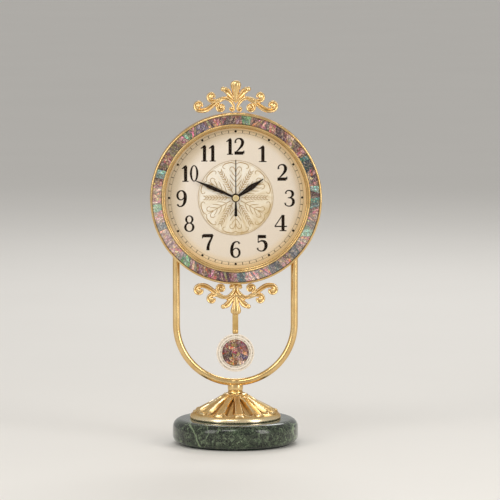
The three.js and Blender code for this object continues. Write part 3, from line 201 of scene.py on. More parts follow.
class Finish:
    """One material. Each method adds a node and returns its output."""

    def __init__(self, name, **constants):
        self.material = bpy.data.materials.new(name)
        self.material.use_nodes = True
        self.tree = self.material.node_tree
        self.shader = self.tree.nodes["Principled BSDF"]
        for socket, value in constants.items():
            self.shader.inputs[socket.replace("_", " ")].default_value = value
        self.place = self.add("TexCoord").outputs["Object"]

    def add(self, kind, **settings):
        node = self.tree.nodes.new("ShaderNode" + kind)
        for key, value in settings.items():
            setattr(node, key, value)
        return node

    def feed(self, socket, value):
        if isinstance(value, bpy.types.NodeSocket):
            self.tree.links.new(value, socket)
        else:
            socket.default_value = value

    def stretched(self, scale, shift=(0, 0, 0), at=None):
        node = self.add("Mapping")
        self.feed(node.inputs["Vector"], at or self.place)
        node.inputs["Location"].default_value = shift
        node.inputs["Scale"].default_value = scale
        return node.outputs["Vector"]

    def noise(self, scale, detail=3, rough=0.55, twist=0.0, at=None):
        node = self.add("TexNoise")
        self.feed(node.inputs["Vector"], at or self.place)
        node.inputs["Scale"].default_value = scale
        node.inputs["Detail"].default_value = detail
        node.inputs["Roughness"].default_value = rough
        node.inputs["Distortion"].default_value = twist
        return node.outputs[0]

    def cells(self, scale, feature="F1", output="Distance", at=None):
        node = self.add("TexVoronoi", feature=feature)
        self.feed(node.inputs["Vector"], at or self.place)
        node.inputs["Scale"].default_value = scale
        return node.outputs[output]

    def sum(self, kind, first, second=0.5, third=0.0):
        node = self.add("Math", operation=kind)
        for socket, value in zip(node.inputs, (first, second, third)):
            self.feed(socket, value)
        return node.outputs[0]

    def ramp(self, value, *stops):
        """Stops are (position, colour), or (position, number) for a grey."""
        node = self.add("ValToRGB")
        elements = node.color_ramp.elements
        while len(elements) < len(stops):
            elements.new(0.5)
        for element, (position, shade) in zip(elements, stops):
            element.position = position
            element.color = shade if isinstance(shade, tuple) else (shade, shade, shade, 1)
        self.feed(node.inputs[0], value)
        return node.outputs[0]

    def mix(self, share, first, second):
        """Two colours mixed: a share of 0 gives the first, 1 the second."""
        node = self.add("Mix", data_type="RGBA")
        # The node also has sockets for numbers and vectors; 6 and 7 are its colours
        for index, value in ((0, share), (6, first), (7, second)):
            self.feed(node.inputs[index], value)
        return node.outputs[2]

    def part(self, vector, axis):
        node = self.add("SeparateXYZ")
        self.feed(node.inputs[0], vector)
        return node.outputs[axis]

    def reach(self, vector):
        """Length of a vector."""
        node = self.add("VectorMath", operation="LENGTH")
        self.feed(node.inputs[0], vector)
        return node.outputs["Value"]

    def across(self, vector, direction):
        """How far a point lies along a direction."""
        node = self.add("VectorMath", operation="DOT_PRODUCT")
        self.feed(node.inputs[0], vector)
        node.inputs[1].default_value = direction
        return node.outputs["Value"]

    def bump(self, height, depth_mm, strength=1.0):
        node = self.add("Bump")
        self.feed(node.inputs["Height"], height)
        node.inputs["Distance"].default_value = depth_mm * MM
        node.inputs["Strength"].default_value = strength
        self.feed(self.shader.inputs["Normal"], node.outputs["Normal"])

    def use(self, **sockets):
        """Joins the last values to the shader and gives the finished material."""
        for socket, value in sockets.items():
            self.feed(self.shader.inputs[socket.replace("_", " ")], value)
        return self.material


print("White on screen is", colour(255, 255, 255)[:3], "in the shader, mid grey", colour(128, 128, 128)[:3])

# %% [markdown]
# ## Gold
# The metal is brass under a clear gold lacquer. One even colour would look like paint, so turned
# and drawn parts drift between two golds, with very fine polishing marks, and a thin clear coat
# stands for the lacquer. Castings are darker in their hollows, partly from a brown patina where
# polish doesn't reach and partly from painted shade, and their edges carry a painted highlight.
# Both could be painted on by hand, but the pointiness of the surface finds them by itself, on any
# shape.

# %% Gold, brass and steel
GOLD = colour(240, 208, 148)
GOLD_DEEP = colour(222, 184, 120)
GOLD_HOLLOW_PATINA_AND_SHADE = colour(84, 54, 24)
GOLD_EDGE_HIGHLIGHT = colour(255, 244, 214)
LACQUER = {"Coat_Weight": 0.5, "Coat_Roughness": 0.1, "Coat_IOR": 1.45}
SMUDGE = 0.08


def metal_finish(name, light, deep, rough):
    """Drawn or turned metal: a slow drift of colour, and fine polishing marks."""
    finish = Finish(name, Metallic=1.0, Specular_Tint=deep, **LACQUER)
    drift = finish.ramp(finish.noise(55, 4), (0.35, 0.0), (0.65, 1.0))
    finish.bump(finish.noise(900, 2), 0.01, 0.35)
    smudges = finish.noise(140, 5, 0.65)
    roughness = finish.sum("MULTIPLY_ADD", smudges, SMUDGE * 2, rough - SMUDGE)
    return finish.use(Base_Color=finish.mix(drift, deep, light), Roughness=roughness)


def casting_finish(name, hollow, deep, light, edge, rough):
    """Cast metal: hollows darker, partly brown patina and partly painted shade; edges get a painted
    highlight.
    """
    finish = Finish(name, Metallic=1.0, Specular_Tint=deep, **LACQUER)
    point = finish.add("NewGeometry").outputs["Pointiness"]
    grain = finish.noise(320, 4)
    point = finish.sum("MULTIPLY_ADD", grain, 0.04, finish.sum("SUBTRACT", point, 0.02))
    # Hollows: brown patina and painted shade. Edges: painted highlight.
    tone = finish.ramp(point, (0.44, hollow), (0.492, deep), (0.515, light), (0.56, edge))
    finish.bump(finish.noise(700, 3), 0.03, 0.4)
    roughness = finish.ramp(point, (0.42, rough + 0.14), (0.6, rough - 0.06))
    return finish.use(Base_Color=tone, Roughness=roughness)


satin_gold = metal_finish("satin gold", GOLD, GOLD_DEEP, 0.21)
cast_gold = casting_finish("cast gold", GOLD_HOLLOW_PATINA_AND_SHADE, GOLD_DEEP, GOLD, GOLD_EDGE_HIGHLIGHT, 0.24)
pale_gold = metal_finish("pale gold", colour(252, 234, 184), colour(238, 214, 156), 0.36)
brass = metal_finish("polished brass", colour(232, 198, 132), colour(204, 164, 98), 0.30)
steel = metal_finish("bright steel", colour(176, 178, 180), colour(136, 138, 142), 0.32)
print("Metals:", len(bpy.data.materials))

# %% [markdown]
# ## Marble
# The base is dark green marble, close to black in places, with a fine pale mottle. A few long
# veins cross it. A picture wrapped around the disc would break at its edge, so the pattern fills
# space and the disc is cut out of it. Each vein is a thin layer through the stone: a plane, bent by
# noise, that shows on the top and on the side as one line.

# %% Green marble
# Veins as (direction across the layer, place along it, thickness), in millimetres
VEINS = (
    ((0.93, 0, 0.37), -38.5, 1.6),
    ((0.98, 0, -0.20), -38.5, 0.5),
    ((0.98, -0.18, 0.06), 73.5, 1.0),
    ((0.30, 0.90, 0.30), 21.0, 1.2),
    ((0.80, 0.50, 0.33), 44.0, 0.7),
)


def marble_finish():
    stone = Finish("green marble", Roughness=0.16, Specular_IOR_Level=0.3, Coat_Weight=0.35,
                   Coat_Roughness=0.03)
    clouds = stone.noise(46, 8, 0.75, 0.8)
    ground = stone.ramp(clouds, (0.42, colour(4, 6, 4)), (0.53, colour(16, 24, 16)),
                        (0.66, colour(46, 62, 42)))
    threads = stone.sum("ABSOLUTE", stone.sum("SUBTRACT", stone.noise(150, 7, 0.7, 1.8), 0.5))
    thread = stone.ramp(threads, (0.0, 1.0), (0.022, 0.0))
    fleck = stone.ramp(stone.noise(250, 7, 0.8, 0.9), (0.51, 0.0), (0.57, 1.0))
    patch = stone.ramp(stone.noise(60, 5, 0.6, 0.5), (0.38, 0.15), (0.62, 1.0))
    mottle = stone.sum("MAXIMUM", stone.sum("MULTIPLY", thread, 0.55), stone.sum("MULTIPLY", fleck, patch))
    tone = stone.mix(mottle, ground, colour(124, 140, 110))
    bend = stone.sum("MULTIPLY_ADD", stone.noise(26, 6, 0.6), 0.016, -0.008)
    for direction, offset, width in VEINS:
        layer = stone.sum("ADD", stone.across(stone.place, direction), bend)
        gap = stone.sum("ABSOLUTE", stone.sum("SUBTRACT", layer, offset * MM))
        vein = stone.ramp(stone.sum("DIVIDE", gap, width * 0.7 * MM), (0.25, 1.0), (1.0, 0.0))
        tone = stone.mix(stone.sum("MULTIPLY", vein, 0.7), tone, colour(138, 156, 122))
    stone.bump(stone.noise(300, 4), 0.01, 0.15)
    return stone.use(Base_Color=tone)


green_marble = marble_finish()
print("Marble:", len(green_marble.node_tree.nodes), "nodes,", len(VEINS), "veins")

# %% [markdown]
# ## Abalone shell
# The inlay is made of thin shards of abalone. Each shard has its own tint and its own direction of
# growth lines. A material for each shard would mean hundreds of them, so tint and direction are
# stored on the shards as attributes, and one finish reads both. It turns its streaks by the stored
# angle, then adds dark growth lines, a drift of hue and pale flecks under a clear coat.

# %% Abalone
def abalone_finish():
    shell = Finish("abalone", Roughness=0.26, Coat_Weight=0.3, Coat_Roughness=0.08)
    tint = shell.add("Attribute", attribute_name="tint").outputs["Color"]
    grain = shell.add("Attribute", attribute_name="grain").outputs["Fac"]
    turned_place = shell.add("VectorRotate", rotation_type="Y_AXIS")
    shell.feed(turned_place.inputs["Vector"], shell.place)
    shell.feed(turned_place.inputs["Angle"], shell.sum("MULTIPLY", grain, math.pi))
    place = turned_place.outputs[0]
    clouds = shell.noise(1, 4, 0.6, 1.0, at=shell.stretched((240, 300, 420), at=place))
    streaks = shell.noise(1, 4, 0.7, 1.6, at=shell.stretched((260, 400, 640), at=place))
    layers = shell.noise(1, 3, 0.6, 2.2, at=shell.stretched((210, 300, 520), at=place))
    growth = shell.sum("ABSOLUTE", shell.sum("SUBTRACT", layers, 0.5))
    dark_line = shell.ramp(growth, (0.0, 1.0), (0.03, 0.8), (0.055, 0.0))
    bend = shell.add("VectorMath", operation="MULTIPLY_ADD")
    wander = shell.add("TexNoise")
    shell.feed(wander.inputs["Vector"], place)
    wander.inputs["Scale"].default_value = 520
    shell.feed(bend.inputs[0], wander.outputs["Color"])
    bend.inputs[1].default_value = (3 * MM, 3 * MM, 3 * MM)
    shell.feed(bend.inputs[2], place)
    bent = shell.stretched((190, 270, 380), at=bend.outputs[0])
    bits = shell.cells(1, "F1", "Color", at=bent)
    seams = shell.cells(1, "DISTANCE_TO_EDGE", at=bent)
    swing = shell.sum("MULTIPLY_ADD", shell.part(bits, 0), 0.13, 0.35)
    hue = shell.add("HueSaturation")
    shell.feed(hue.inputs["Hue"], shell.sum("MULTIPLY_ADD", clouds, 0.15, swing))
    shell.feed(hue.inputs["Saturation"], shell.ramp(shell.part(bits, 1), (0.2, 0.65), (0.8, 1.15)))
    value = shell.ramp(streaks, (0.36, 0.34), (0.5, 0.9), (0.62, 1.45))
    shine = shell.ramp(shell.part(bits, 2), (0, 0.55), (1, 1.5))
    shell.feed(hue.inputs["Value"], shell.sum("MULTIPLY", value, shine))
    shell.feed(hue.inputs["Color"], tint)
    # Pale flecks: painted glints of the nacre, placed by chance
    fleck = shell.ramp(shell.noise(1, 3, 0.7, 0.5, at=shell.stretched((480, 600, 900), at=place)),
                       (0.55, 0.0), (0.64, 0.9))
    tone = shell.mix(fleck, hue.outputs[0], colour(240, 214, 186))
    tone = shell.mix(shell.ramp(seams, (0.0, 0.75), (0.09, 0.0)), tone, colour(52, 36, 38))
    tone = shell.mix(shell.sum("MULTIPLY", dark_line, 0.8), tone, colour(46, 34, 36))
    shell.bump(streaks, 0.05, 0.5)
    return shell.use(Base_Color=tone)


abalone = abalone_finish()
print("Abalone:", len(abalone.node_tree.nodes), "nodes")

# %% [markdown]
# ## Dial, pearl and enamel
# The dial is a cream card. Painted light makes it a little paler towards its upper left, and a
# painted reflection of the gold ring makes it warmer near its edge. A painted shadow of the ring lies
# on its upper left edge. The round centre is mother-of-pearl with soft golden rays: noise that is read
# mostly by the angle, so that it runs out from the middle. Hands and numerals are black-brown, in
# enamel and in matt ink. All of it could be one painted picture, but patterns worked out around the
# head's centre stay sharp at any size.

# %% Cream card
HEAD_CENTRE = (0, 0, -head_height * MM)
DIAL_REACH = 88 * MM


def dial_finish():
    card = Finish("ivory dial", Roughness=0.5)
    place = card.stretched((1, 1, 1), shift=HEAD_CENTRE)
    radius = card.sum("DIVIDE", card.reach(place), DIAL_REACH)
    upper_left = card.across(place, (-0.9 / DIAL_REACH, 0, 0.44 / DIAL_REACH))
    # The card's tone has a little noise and painted light that makes it paler towards the upper left
    slope = card.sum("MULTIPLY_ADD", card.noise(90, 5), 0.12,
                     card.sum("MULTIPLY_ADD", upper_left, 0.5, 0.44))
    paper_and_painted_light = card.ramp(slope, (0.15, colour(234, 221, 204)), (0.6, colour(238, 226, 209)),
                      (0.95, colour(246, 235, 222)))
    # Painted reflection of the gold ring: warmer towards the edge
    painted_ring_reflection = card.ramp(radius, (0.80, 0.0), (0.94, 1.0))
    tone = card.mix(painted_ring_reflection, paper_and_painted_light, colour(238, 211, 162))
    # Painted shadow of the ring on the upper left edge
    outer_part = card.ramp(radius, (0.68, 0.0), (0.80, 1.0))
    painted_ring_shadow = card.sum("MULTIPLY", outer_part, card.ramp(upper_left, (0.25, 0.0), (0.75, 1.0)))
    tone = card.mix(card.sum("MULTIPLY", painted_ring_shadow, 0.8), tone, colour(212, 194, 164))
    card.bump(card.noise(2600, 2), 0.01, 0.2)
    return card.use(Base_Color=tone)


ivory_dial = dial_finish()
print("Dial:", len(ivory_dial.node_tree.nodes), "nodes")

# %% Mother-of-pearl
PEARL_REACH = 45 * MM


def pearl_finish():
    pearl = Finish("mother of pearl", Roughness=0.28, Coat_Weight=0.5, Coat_Roughness=0.1)
    place = pearl.stretched((1, 1, 1), shift=HEAD_CENTRE)
    radius = pearl.sum("DIVIDE", pearl.reach(place), PEARL_REACH)
    angle = pearl.sum("ARCTAN2", pearl.part(place, 2), pearl.part(place, 0))
    ring = pearl.add("CombineXYZ")
    pearl.feed(ring.inputs[0], pearl.sum("COSINE", angle))
    pearl.feed(ring.inputs[1], pearl.sum("SINE", angle))
    pearl.feed(ring.inputs[2], pearl.sum("MULTIPLY", radius, 0.25))
    rays = pearl.noise(7.5, 4, 0.6, at=ring.outputs[0])
    clouds = pearl.noise(48, 4, 0.55, 0.8)
    # Painted sheen: paler towards the upper left and more golden towards the lower right
    lower_right = pearl.across(place, (0.62 / PEARL_REACH, 0, -0.78 / PEARL_REACH))
    golden = pearl.sum("MULTIPLY_ADD", lower_right, 0.34, pearl.sum("MULTIPLY_ADD", rays, 1.3, -0.40))
    tone = pearl.ramp(pearl.sum("MULTIPLY_ADD", clouds, 0.5, golden), (0.25, colour(253, 246, 232)),
                      (0.60, colour(244, 231, 206)), (1.0, colour(216, 190, 140)))
    pearl.bump(clouds, 0.05, 0.3)
    return pearl.use(Base_Color=tone)


pearl = pearl_finish()
print("Pearl:", len(pearl.node_tree.nodes), "nodes")

# %% Enamel, ink, plate, plastic and resin
def plain_finish(name, light, dark, rough, scale, depth_mm, **constants):
    """A moulded, painted or printed surface: two close tones and a fine skin."""
    finish = Finish(name, **constants)
    clouds = finish.noise(scale / 6, 4)
    finish.bump(finish.noise(scale, 3), depth_mm, 0.4)
    roughness = finish.sum("MULTIPLY_ADD", clouds, 0.16, rough - 0.08)
    return finish.use(Base_Color=finish.mix(clouds, dark, light), Roughness=roughness)


# Painted shade: the floors of the bob's grooves are darker than the plate
groove_shade_silver = plain_finish("groove_shaded silver", colour(226, 212, 192), colour(198, 184, 162), 0.5, 900, 0.01)
white_metal = plain_finish("white metal", colour(252, 244, 232), colour(242, 230, 214), 0.3, 1200, 0.01,
                           Coat_Weight=0.4)
black_enamel = plain_finish("black enamel", colour(30, 18, 11), colour(15, 8, 5), 0.4, 900, 0.01,
                            Specular_IOR_Level=0.15)
printed_ink = plain_finish("printed ink", colour(30, 15, 6), colour(18, 9, 4), 0.8, 1500, 0.01,
                           Specular_IOR_Level=0.1)
rosette_ink = plain_finish("rosette gilding", colour(200, 168, 116), colour(168, 136, 88), 0.42, 900, 0.01)
black_plastic = plain_finish("black plastic", colour(42, 43, 46), colour(28, 29, 31), 0.55, 2600, 0.03)
white_plastic = plain_finish("white plastic", colour(222, 220, 212), colour(204, 201, 192), 0.45, 2200, 0.02)
dark_resin = plain_finish("dark resin", colour(40, 30, 34), colour(22, 17, 20), 0.35, 800, 0.02)
print("With the plain ones there are", len(bpy.data.materials), "finishes")

# %% Glass and cut stones
def glass_finish():
    glass = Finish("clear glass", Roughness=0.03, IOR=1.5, Alpha=0.04, Specular_IOR_Level=0.2)
    faint = glass.noise(60, 3)
    return glass.use(Base_Color=glass.mix(faint, colour(92, 80, 64), colour(104, 92, 76)))


clear_glass = glass_finish()


def stone_finish():
    stone = Finish("silver stones", Metallic=0.1, Coat_Weight=0.6)
    sparkle = stone.cells(700, output="Color")
    shade = stone.part(sparkle, 0)
    tone = stone.ramp(shade, (0.12, colour(150, 140, 128)), (0.3, colour(240, 232, 222)),
                      (0.9, colour(255, 251, 244)))
    return stone.use(Base_Color=tone, Roughness=stone.ramp(shade, (0.0, 0.10), (1.0, 0.28)))


silver_stones = stone_finish()
print("Finishes so far:", len(bpy.data.materials))

# %% [markdown]
# ## Finishes that are seen from behind and below
# Felt is a mat of short fibres. The coil is fine enamelled wire: a wave pattern gives its close
# ridges, where real turns of wire would cost many thousand faces for a part that is hardly seen.
# The circuit board has tracks under green lacquer, and the cell has a plain two-tone sleeve.

# %% Felt, copper wire, circuit board and battery sleeve
def felt_finish():
    felt = Finish("dark felt", Roughness=0.95, Sheen_Weight=0.35, Sheen_Roughness=0.6)
    fibres = felt.noise(1, 6, 0.75, 1.5, at=felt.stretched((900, 1500, 900)))
    felt.bump(fibres, 0.25, 0.8)
    return felt.use(Base_Color=felt.ramp(fibres, (0.3, colour(20, 26, 23)), (0.7, colour(46, 56, 50))))


def wire_finish():
    wire = Finish("copper wire", Metallic=0.9, Roughness=0.35)
    turns = wire.add("TexWave", bands_direction="Y", wave_profile="SIN")
    wire.feed(turns.inputs["Vector"], wire.place)
    turns.inputs["Scale"].default_value = 480
    turns.inputs["Distortion"].default_value = 0.4
    ridges = turns.outputs["Fac"]
    wire.bump(ridges, 0.08, 0.8)
    # Painted shade and highlight: darker in the troughs between turns, paler on their crests
    return wire.use(Base_Color=wire.ramp(ridges, (0.1, colour(96, 44, 24)), (0.8, colour(204, 124, 78))))


def board_finish():
    board = Finish("circuit board green", Roughness=0.4, Coat_Weight=0.3)
    edge = board.cells(190, feature="DISTANCE_TO_EDGE", at=board.stretched((1, 0, 1)))
    track = board.ramp(edge, (0.02, 1.0), (0.035, 0.0))
    board.bump(track, 0.03, 0.6)
    return board.use(Base_Color=board.mix(track, colour(30, 84, 52), colour(88, 140, 84)))


def sleeve_finish():
    sleeve = Finish("battery sleeve", Metallic=0.4, Roughness=0.38)
    along = sleeve.part(sleeve.place, 0)
    band = sleeve.ramp(sleeve.sum("MULTIPLY_ADD", along, 20, 0.5), (0.735, 0.0), (0.74, 1.0))
    speckle = sleeve.noise(700, 3)
    tone = sleeve.mix(band, colour(84, 88, 92), colour(182, 144, 84))
    tone = sleeve.mix(sleeve.sum("MULTIPLY", speckle, 0.25), tone, colour(120, 122, 126))
    sleeve.bump(speckle, 0.01, 0.2)
    return sleeve.use(Base_Color=tone)


dark_felt = felt_finish()
copper_wire = wire_finish()
board_green = board_finish()
battery_sleeve = sleeve_finish()
print("All finishes:", len(bpy.data.materials))

# %% [markdown]
# ## Helpers for shapes
# Most pieces of a clock are turned, so the first helper spins an outline about the axis. The second
# rounds the sharp edges, because a real edge is never quite sharp and catches the light. The last
# one turns a bmesh into a piece: it puts the mesh in place, merges doubles, points the faces
# outwards, gives it a finish and lets it ride on its body.

# %% Turning and rounding
TURNS = 144
SHARP_EDGE = 30


def turned(outline, steps=TURNS, mesh=None):
    """Spins a closed outline of (radius, height) points about Z."""
    mesh = mesh or bmesh.new()
    points = [mesh.verts.new((radius, 0, height)) for radius, height in outline]
    edges = [mesh.edges.new(pair) for pair in zip(points, points[1:] + points[:1])]
    bmesh.ops.spin(mesh, geom=points + edges, axis=(0, 0, 1), cent=(0, 0, 0),
                   angle=math.tau, steps=steps, use_merge=True)
    bmesh.ops.remove_doubles(mesh, verts=mesh.verts, dist=1e-4)
    bmesh.ops.recalc_face_normals(mesh, faces=mesh.faces)
    return mesh


def rounded(mesh, width, segments=3, chosen=None):
    """Bevels the sharp edges, or those of them that chosen accepts by their middle."""
    edges = []
    for edge in mesh.edges:
        if len(edge.link_faces) == 2 and edge.calc_face_angle(0) > math.radians(SHARP_EDGE):
            middle = (edge.verts[0].co + edge.verts[1].co) / 2
            if chosen is None or chosen(middle):
                edges.append(edge)
    bmesh.ops.bevel(mesh, geom=edges, offset=width, offset_type="OFFSET", segments=segments,
                    profile=0.5, affect="EDGES", clamp_overlap=True, material=-1)
    return mesh


def block(low, high):
    """A box between two corners."""
    mesh = bmesh.new()
    middle = (Vector(low) + Vector(high)) / 2
    size = Vector(high) - Vector(low)
    bmesh.ops.create_cube(mesh, size=1, matrix=Matrix.Translation(middle) @ Matrix.Diagonal((*size, 1)))
    return mesh


def rod(radius, base, tip, sides=24):
    """A round bar between two points."""
    mesh = bmesh.new()
    base, tip = Vector(base), Vector(tip)
    turn = (tip - base).to_track_quat("Z", "Y").to_matrix().to_4x4()
    bmesh.ops.create_cone(mesh, cap_ends=True, segments=sides, radius1=radius, radius2=radius,
                          depth=(tip - base).length, matrix=Matrix.Translation((base + tip) / 2) @ turn)
    return mesh


print("A turned piece has", TURNS, "steps, edges sharper than", SHARP_EDGE, "degrees are rounded")

# %% Joining and cutting
def points_of(made):
    """The points among all that an operator made."""
    return [item for item in made if isinstance(item, bmesh.types.BMVert)]


def added(mesh, other, place=None):
    """Adds one bmesh to another."""
    if place is not None:
        other.transform(place)
    data = bpy.data.meshes.new("part")
    other.to_mesh(data)
    other.free()
    mesh.from_mesh(data)
    bpy.data.meshes.remove(data)
    return mesh


def to_object(name, mesh):
    data = bpy.data.meshes.new(name)
    mesh.to_mesh(data)
    mesh.free()
    thing = bpy.data.objects.new(name, data)
    scene.collection.objects.link(thing)
    return thing


def settled(thing):
    """The mesh that an object's modifiers make, as a bmesh. The object itself goes away."""
    final = bpy.data.meshes.new_from_object(thing.evaluated_get(bpy.context.evaluated_depsgraph_get()))
    mesh = bmesh.new()
    mesh.from_mesh(final)
    bpy.data.objects.remove(thing)
    return mesh


def combined(base, other, kind):
    """Boolean of two bmeshes."""
    body, tool = to_object("body", base), to_object("tool", other)
    modifier = body.modifiers.new("combine", "BOOLEAN")
    modifier.operation = kind
    modifier.solver = "EXACT"
    modifier.object = tool
    bpy.context.view_layer.update()
    mesh = settled(body)
    bpy.data.objects.remove(tool)
    return mesh


# %% A finished piece
def piece(name, mesh, place, body, finish, replaces=(), sharp=32):
    """A finished piece. Edges below the sharp angle, in degrees, are shaded smooth."""
    mesh.transform(place)
    bmesh.ops.remove_doubles(mesh, verts=mesh.verts, dist=0.002 * MM)
    bmesh.ops.recalc_face_normals(mesh, faces=mesh.faces)
    thing = to_object(name, mesh)
    data = thing.data
    data.shade_smooth()
    data.set_sharp_from_angle(angle=math.radians(sharp))
    data.materials.append(finish)
    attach(thing, body)
    if replaces:
        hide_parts(*replaces)
    print(f"{name}: {len(data.polygons)} faces")


STAND_BODY = "stand_and_head"
print("The stand and the head are one body:", STAND_BODY)

# %% [markdown]
# ## Marble base
# A lathe and a polishing wheel make the real base, so it is an outline spun about the axis. The
# outline keeps the bore and the recess for the tie bolt. The wide rounding could be drawn point by
# point too, but a bevel of the two outer edges gives a true quarter round with as many steps as it
# needs.

# %% Marble disc
MARBLE_STEPS = 160
MARBLE_TOP_ROUND = 10
MARBLE_BOTTOM_ROUND = 8
BORE_RADIUS = 3.3
RECESS_GAP = 2
WASHER_GAP = 0.3

marble_low, marble_high = corners("marble_base")
washer_high = corners("tie_washer")[1]
marble_radius = outer_radius("marble_base")
recess_radius = washer_high.x + RECESS_GAP
recess_top = washer_high.z + WASHER_GAP
marble = turned([
    (recess_radius, marble_low.z), (marble_radius, marble_low.z), (marble_radius, marble_high.z),
    (BORE_RADIUS, marble_high.z), (BORE_RADIUS, recess_top), (recess_radius, recess_top),
], MARBLE_STEPS)
rounded(marble, MARBLE_TOP_ROUND, 10,
        lambda at: at.xy.length > marble_radius - 1 and at.z > marble_high.z - 1)
rounded(marble, MARBLE_BOTTOM_ROUND, 8,
        lambda at: at.xy.length > marble_radius - 1 and at.z < marble_low.z + 1)
piece("marble_disc", marble, STAND, STAND_BODY, green_marble, ["marble_base"])

# %% [markdown]
# ## Fluted foot
# The foot is a cast shell with twelve ribs. Between two ribs lies a hollow that starts narrow at
# the top, widens, and ends in a round bay above the rim, while each rib carries a raised bar that
# ends in a small knob. It could be built from one rib and one hollow, copied twelve times, but the
# seams would show. So the whole flare is spun with many steps, and a few functions say for each
# point how far it is lifted or pressed in.

# %% The flare of the foot
RIBS = 12
STEPS_PER_RIB = 32
FLARE_ROWS = 60
FOOT_RADIUS = 53.5
FOOT_RIM = 6
FOOT_LEDGE = 2.5
FOOT_TOP_RADIUS = 12.8
FLARE_SAG = 0.66

foot_low, foot_high = corners("fluted_foot")
foot_base = foot_low.z
flare_base = foot_base + FOOT_RIM
flare_height = foot_high.z - foot_base - FOOT_RIM
flare_radius = FOOT_RADIUS - FOOT_LEDGE


def flare_point(t):
    """Radius and height of the flare, from the collar at 0 to the rim at 1."""
    rise = 1 - t - FLARE_SAG * t * (1 - t) ** 3
    return (FOOT_TOP_RADIUS + (flare_radius - FOOT_TOP_RADIUS) * t, flare_base + flare_height * rise)


flare = [flare_point(row / FLARE_ROWS) for row in range(FLARE_ROWS, -1, -1)]
foot = turned([
    (FOOT_RADIUS - 4, foot_base), (FOOT_RADIUS - 0.4, foot_base), (FOOT_RADIUS, foot_base + 0.5),
    (FOOT_RADIUS, foot_base + FOOT_RIM * 0.45), (FOOT_RADIUS - 0.8, foot_base + FOOT_RIM * 0.75),
    *flare,
    (BORE_RADIUS, foot_high.z), (BORE_RADIUS, foot_high.z - 2), (9.5, foot_high.z - 2.4),
    (16, foot_high.z - 8), (30, foot_base + 10), (44, foot_base + 3.5),
], RIBS * STEPS_PER_RIB)
print("The flare rises", round(flare_height, 1), "mm in", FLARE_ROWS, "rows")

# %% Ribs and hollows
RIB_TURN = 4
HOLLOW_DEPTH = 4.0
BAR_HEIGHT = 1.25
KNOB_HEIGHT = 0.9
TOP_KNOB_HEIGHT = 0.8
# Places down the flare, as shares of it: where the hollow opens, and where its bay starts to close
HOLLOW_START, HOLLOW_OPEN = 0.03, 0.32
BAY_START, BAY_LENGTH = 0.70, 0.21
KNOB_PLACE = 0.925
# A lift goes half outwards and mostly up, close to square on the slope
LIFT_OUT, LIFT_UP = 0.5, 0.85


def clamped(value):
    return min(1, max(0, value))


def ease(value):
    value = clamped(value)
    return value * value * (3 - 2 * value)


def hollow_at(beside, t):
    """Depth of the hollow. Beside is 0 in the middle of a rib and 1 in the middle of a hollow."""
    opening = clamped((t - HOLLOW_START) / HOLLOW_OPEN)
    closing = clamped((t - BAY_START) / BAY_LENGTH)
    # A rib takes all of the pitch at the collar, less than half further down, and all at the bay
    rib_half = 0.45 + 0.55 * (1 - opening) ** 1.6 + 0.55 * (1 - math.sqrt(1 - closing ** 2))
    open_share = max(0, 1 - rib_half)
    inside = (beside - rib_half) / max(0.04, open_share)
    return HOLLOW_DEPTH * min(1, open_share / 0.2) * min(1, max(0, inside) * 2.4) ** 0.8


def rib_at(beside, t):
    """Height of the bar along the rib and of the knobs at its two ends."""
    bar_half = 0.40 + 0.25 * (1 - t) ** 2
    bar = BAR_HEIGHT * ease((bar_half - beside) / 0.16 + 0.5)
    bar = bar * ease((t - 0.04) / 0.10) * ease((0.985 - t) / 0.05)
    knob = KNOB_HEIGHT * math.exp(-(beside / 0.30) ** 4) * math.exp(-((t - KNOB_PLACE) / 0.04) ** 4)
    top_knob = TOP_KNOB_HEIGHT * math.exp(-(beside / 0.4) ** 2) * math.exp(-((t - 0.03) / 0.03) ** 2)
    return bar + knob + top_knob


for vert in foot.verts:
    t = (vert.co.xy.length - FOOT_TOP_RADIUS) / (flare_radius - FOOT_TOP_RADIUS)
    on_flare = t >= -0.02 and vert.co.z >= foot_base + FOOT_RIM * 0.7
    if on_flare and abs(vert.co.z - flare_point(clamped(t))[1]) <= 0.2:
        turn = math.degrees(math.atan2(vert.co.y, vert.co.x)) + 90 - RIB_TURN
        beside = abs((turn * RIBS / 360 + 0.5) % 1 - 0.5) * 2
        lift = rib_at(beside, t) - hollow_at(beside, t)
        outward = Vector((vert.co.x, vert.co.y, 0)).normalized()
        vert.co += outward * lift * LIFT_OUT + Vector((0, 0, lift * LIFT_UP))

piece("foot_fluted", foot, STAND, STAND_BODY, cast_gold, ["fluted_foot"], sharp=50)

# %% [markdown]
# ## Collar and bent tube
# The collar is a turned bead with a short clip that holds the tube. The clip is a small rectangle,
# spun most of the way round the tube. The tube starts as one circle at the top of the left leg. It
# is extruded down the leg, spun half round for the bend, and extruded up the right leg, just as a
# tube bender would feed it. A curve with a bevel would do as well; this way keeps the steps of the
# bend even and the legs free of needless rings.

# %% Collar
COLLAR_RADIUS = 9.2
CLIP_HALF = 4.2
CLIP_GAP = 0.05
CLIP_WALL = 1.0
CLIP_TURN = 250
TUBE_SINK = 2.5

tube_low, tube_high = corners("u_frame")
tube_radius = -tube_low.y
leg_x = tube_high.x - tube_radius
tube_axis = tube_low.z + tube_radius
collar_low = corners("collar")[0]
body_top = tube_axis - tube_radius + TUBE_SINK

collar = turned([
    (0, collar_low.z), (7.3, collar_low.z), (8.5, collar_low.z + 0.35), (9.1, collar_low.z + 1.3),
    (8.9, collar_low.z + 2.2), (8.1, collar_low.z + 2.9), (8.5, collar_low.z + 3.6),
    (COLLAR_RADIUS - 0.3, collar_low.z + 5.4), (COLLAR_RADIUS - 0.2, collar_low.z + 7.4),
    (COLLAR_RADIUS - 0.6, body_top - 1.0), (COLLAR_RADIUS - 1.5, body_top), (0, body_top),
], 72)

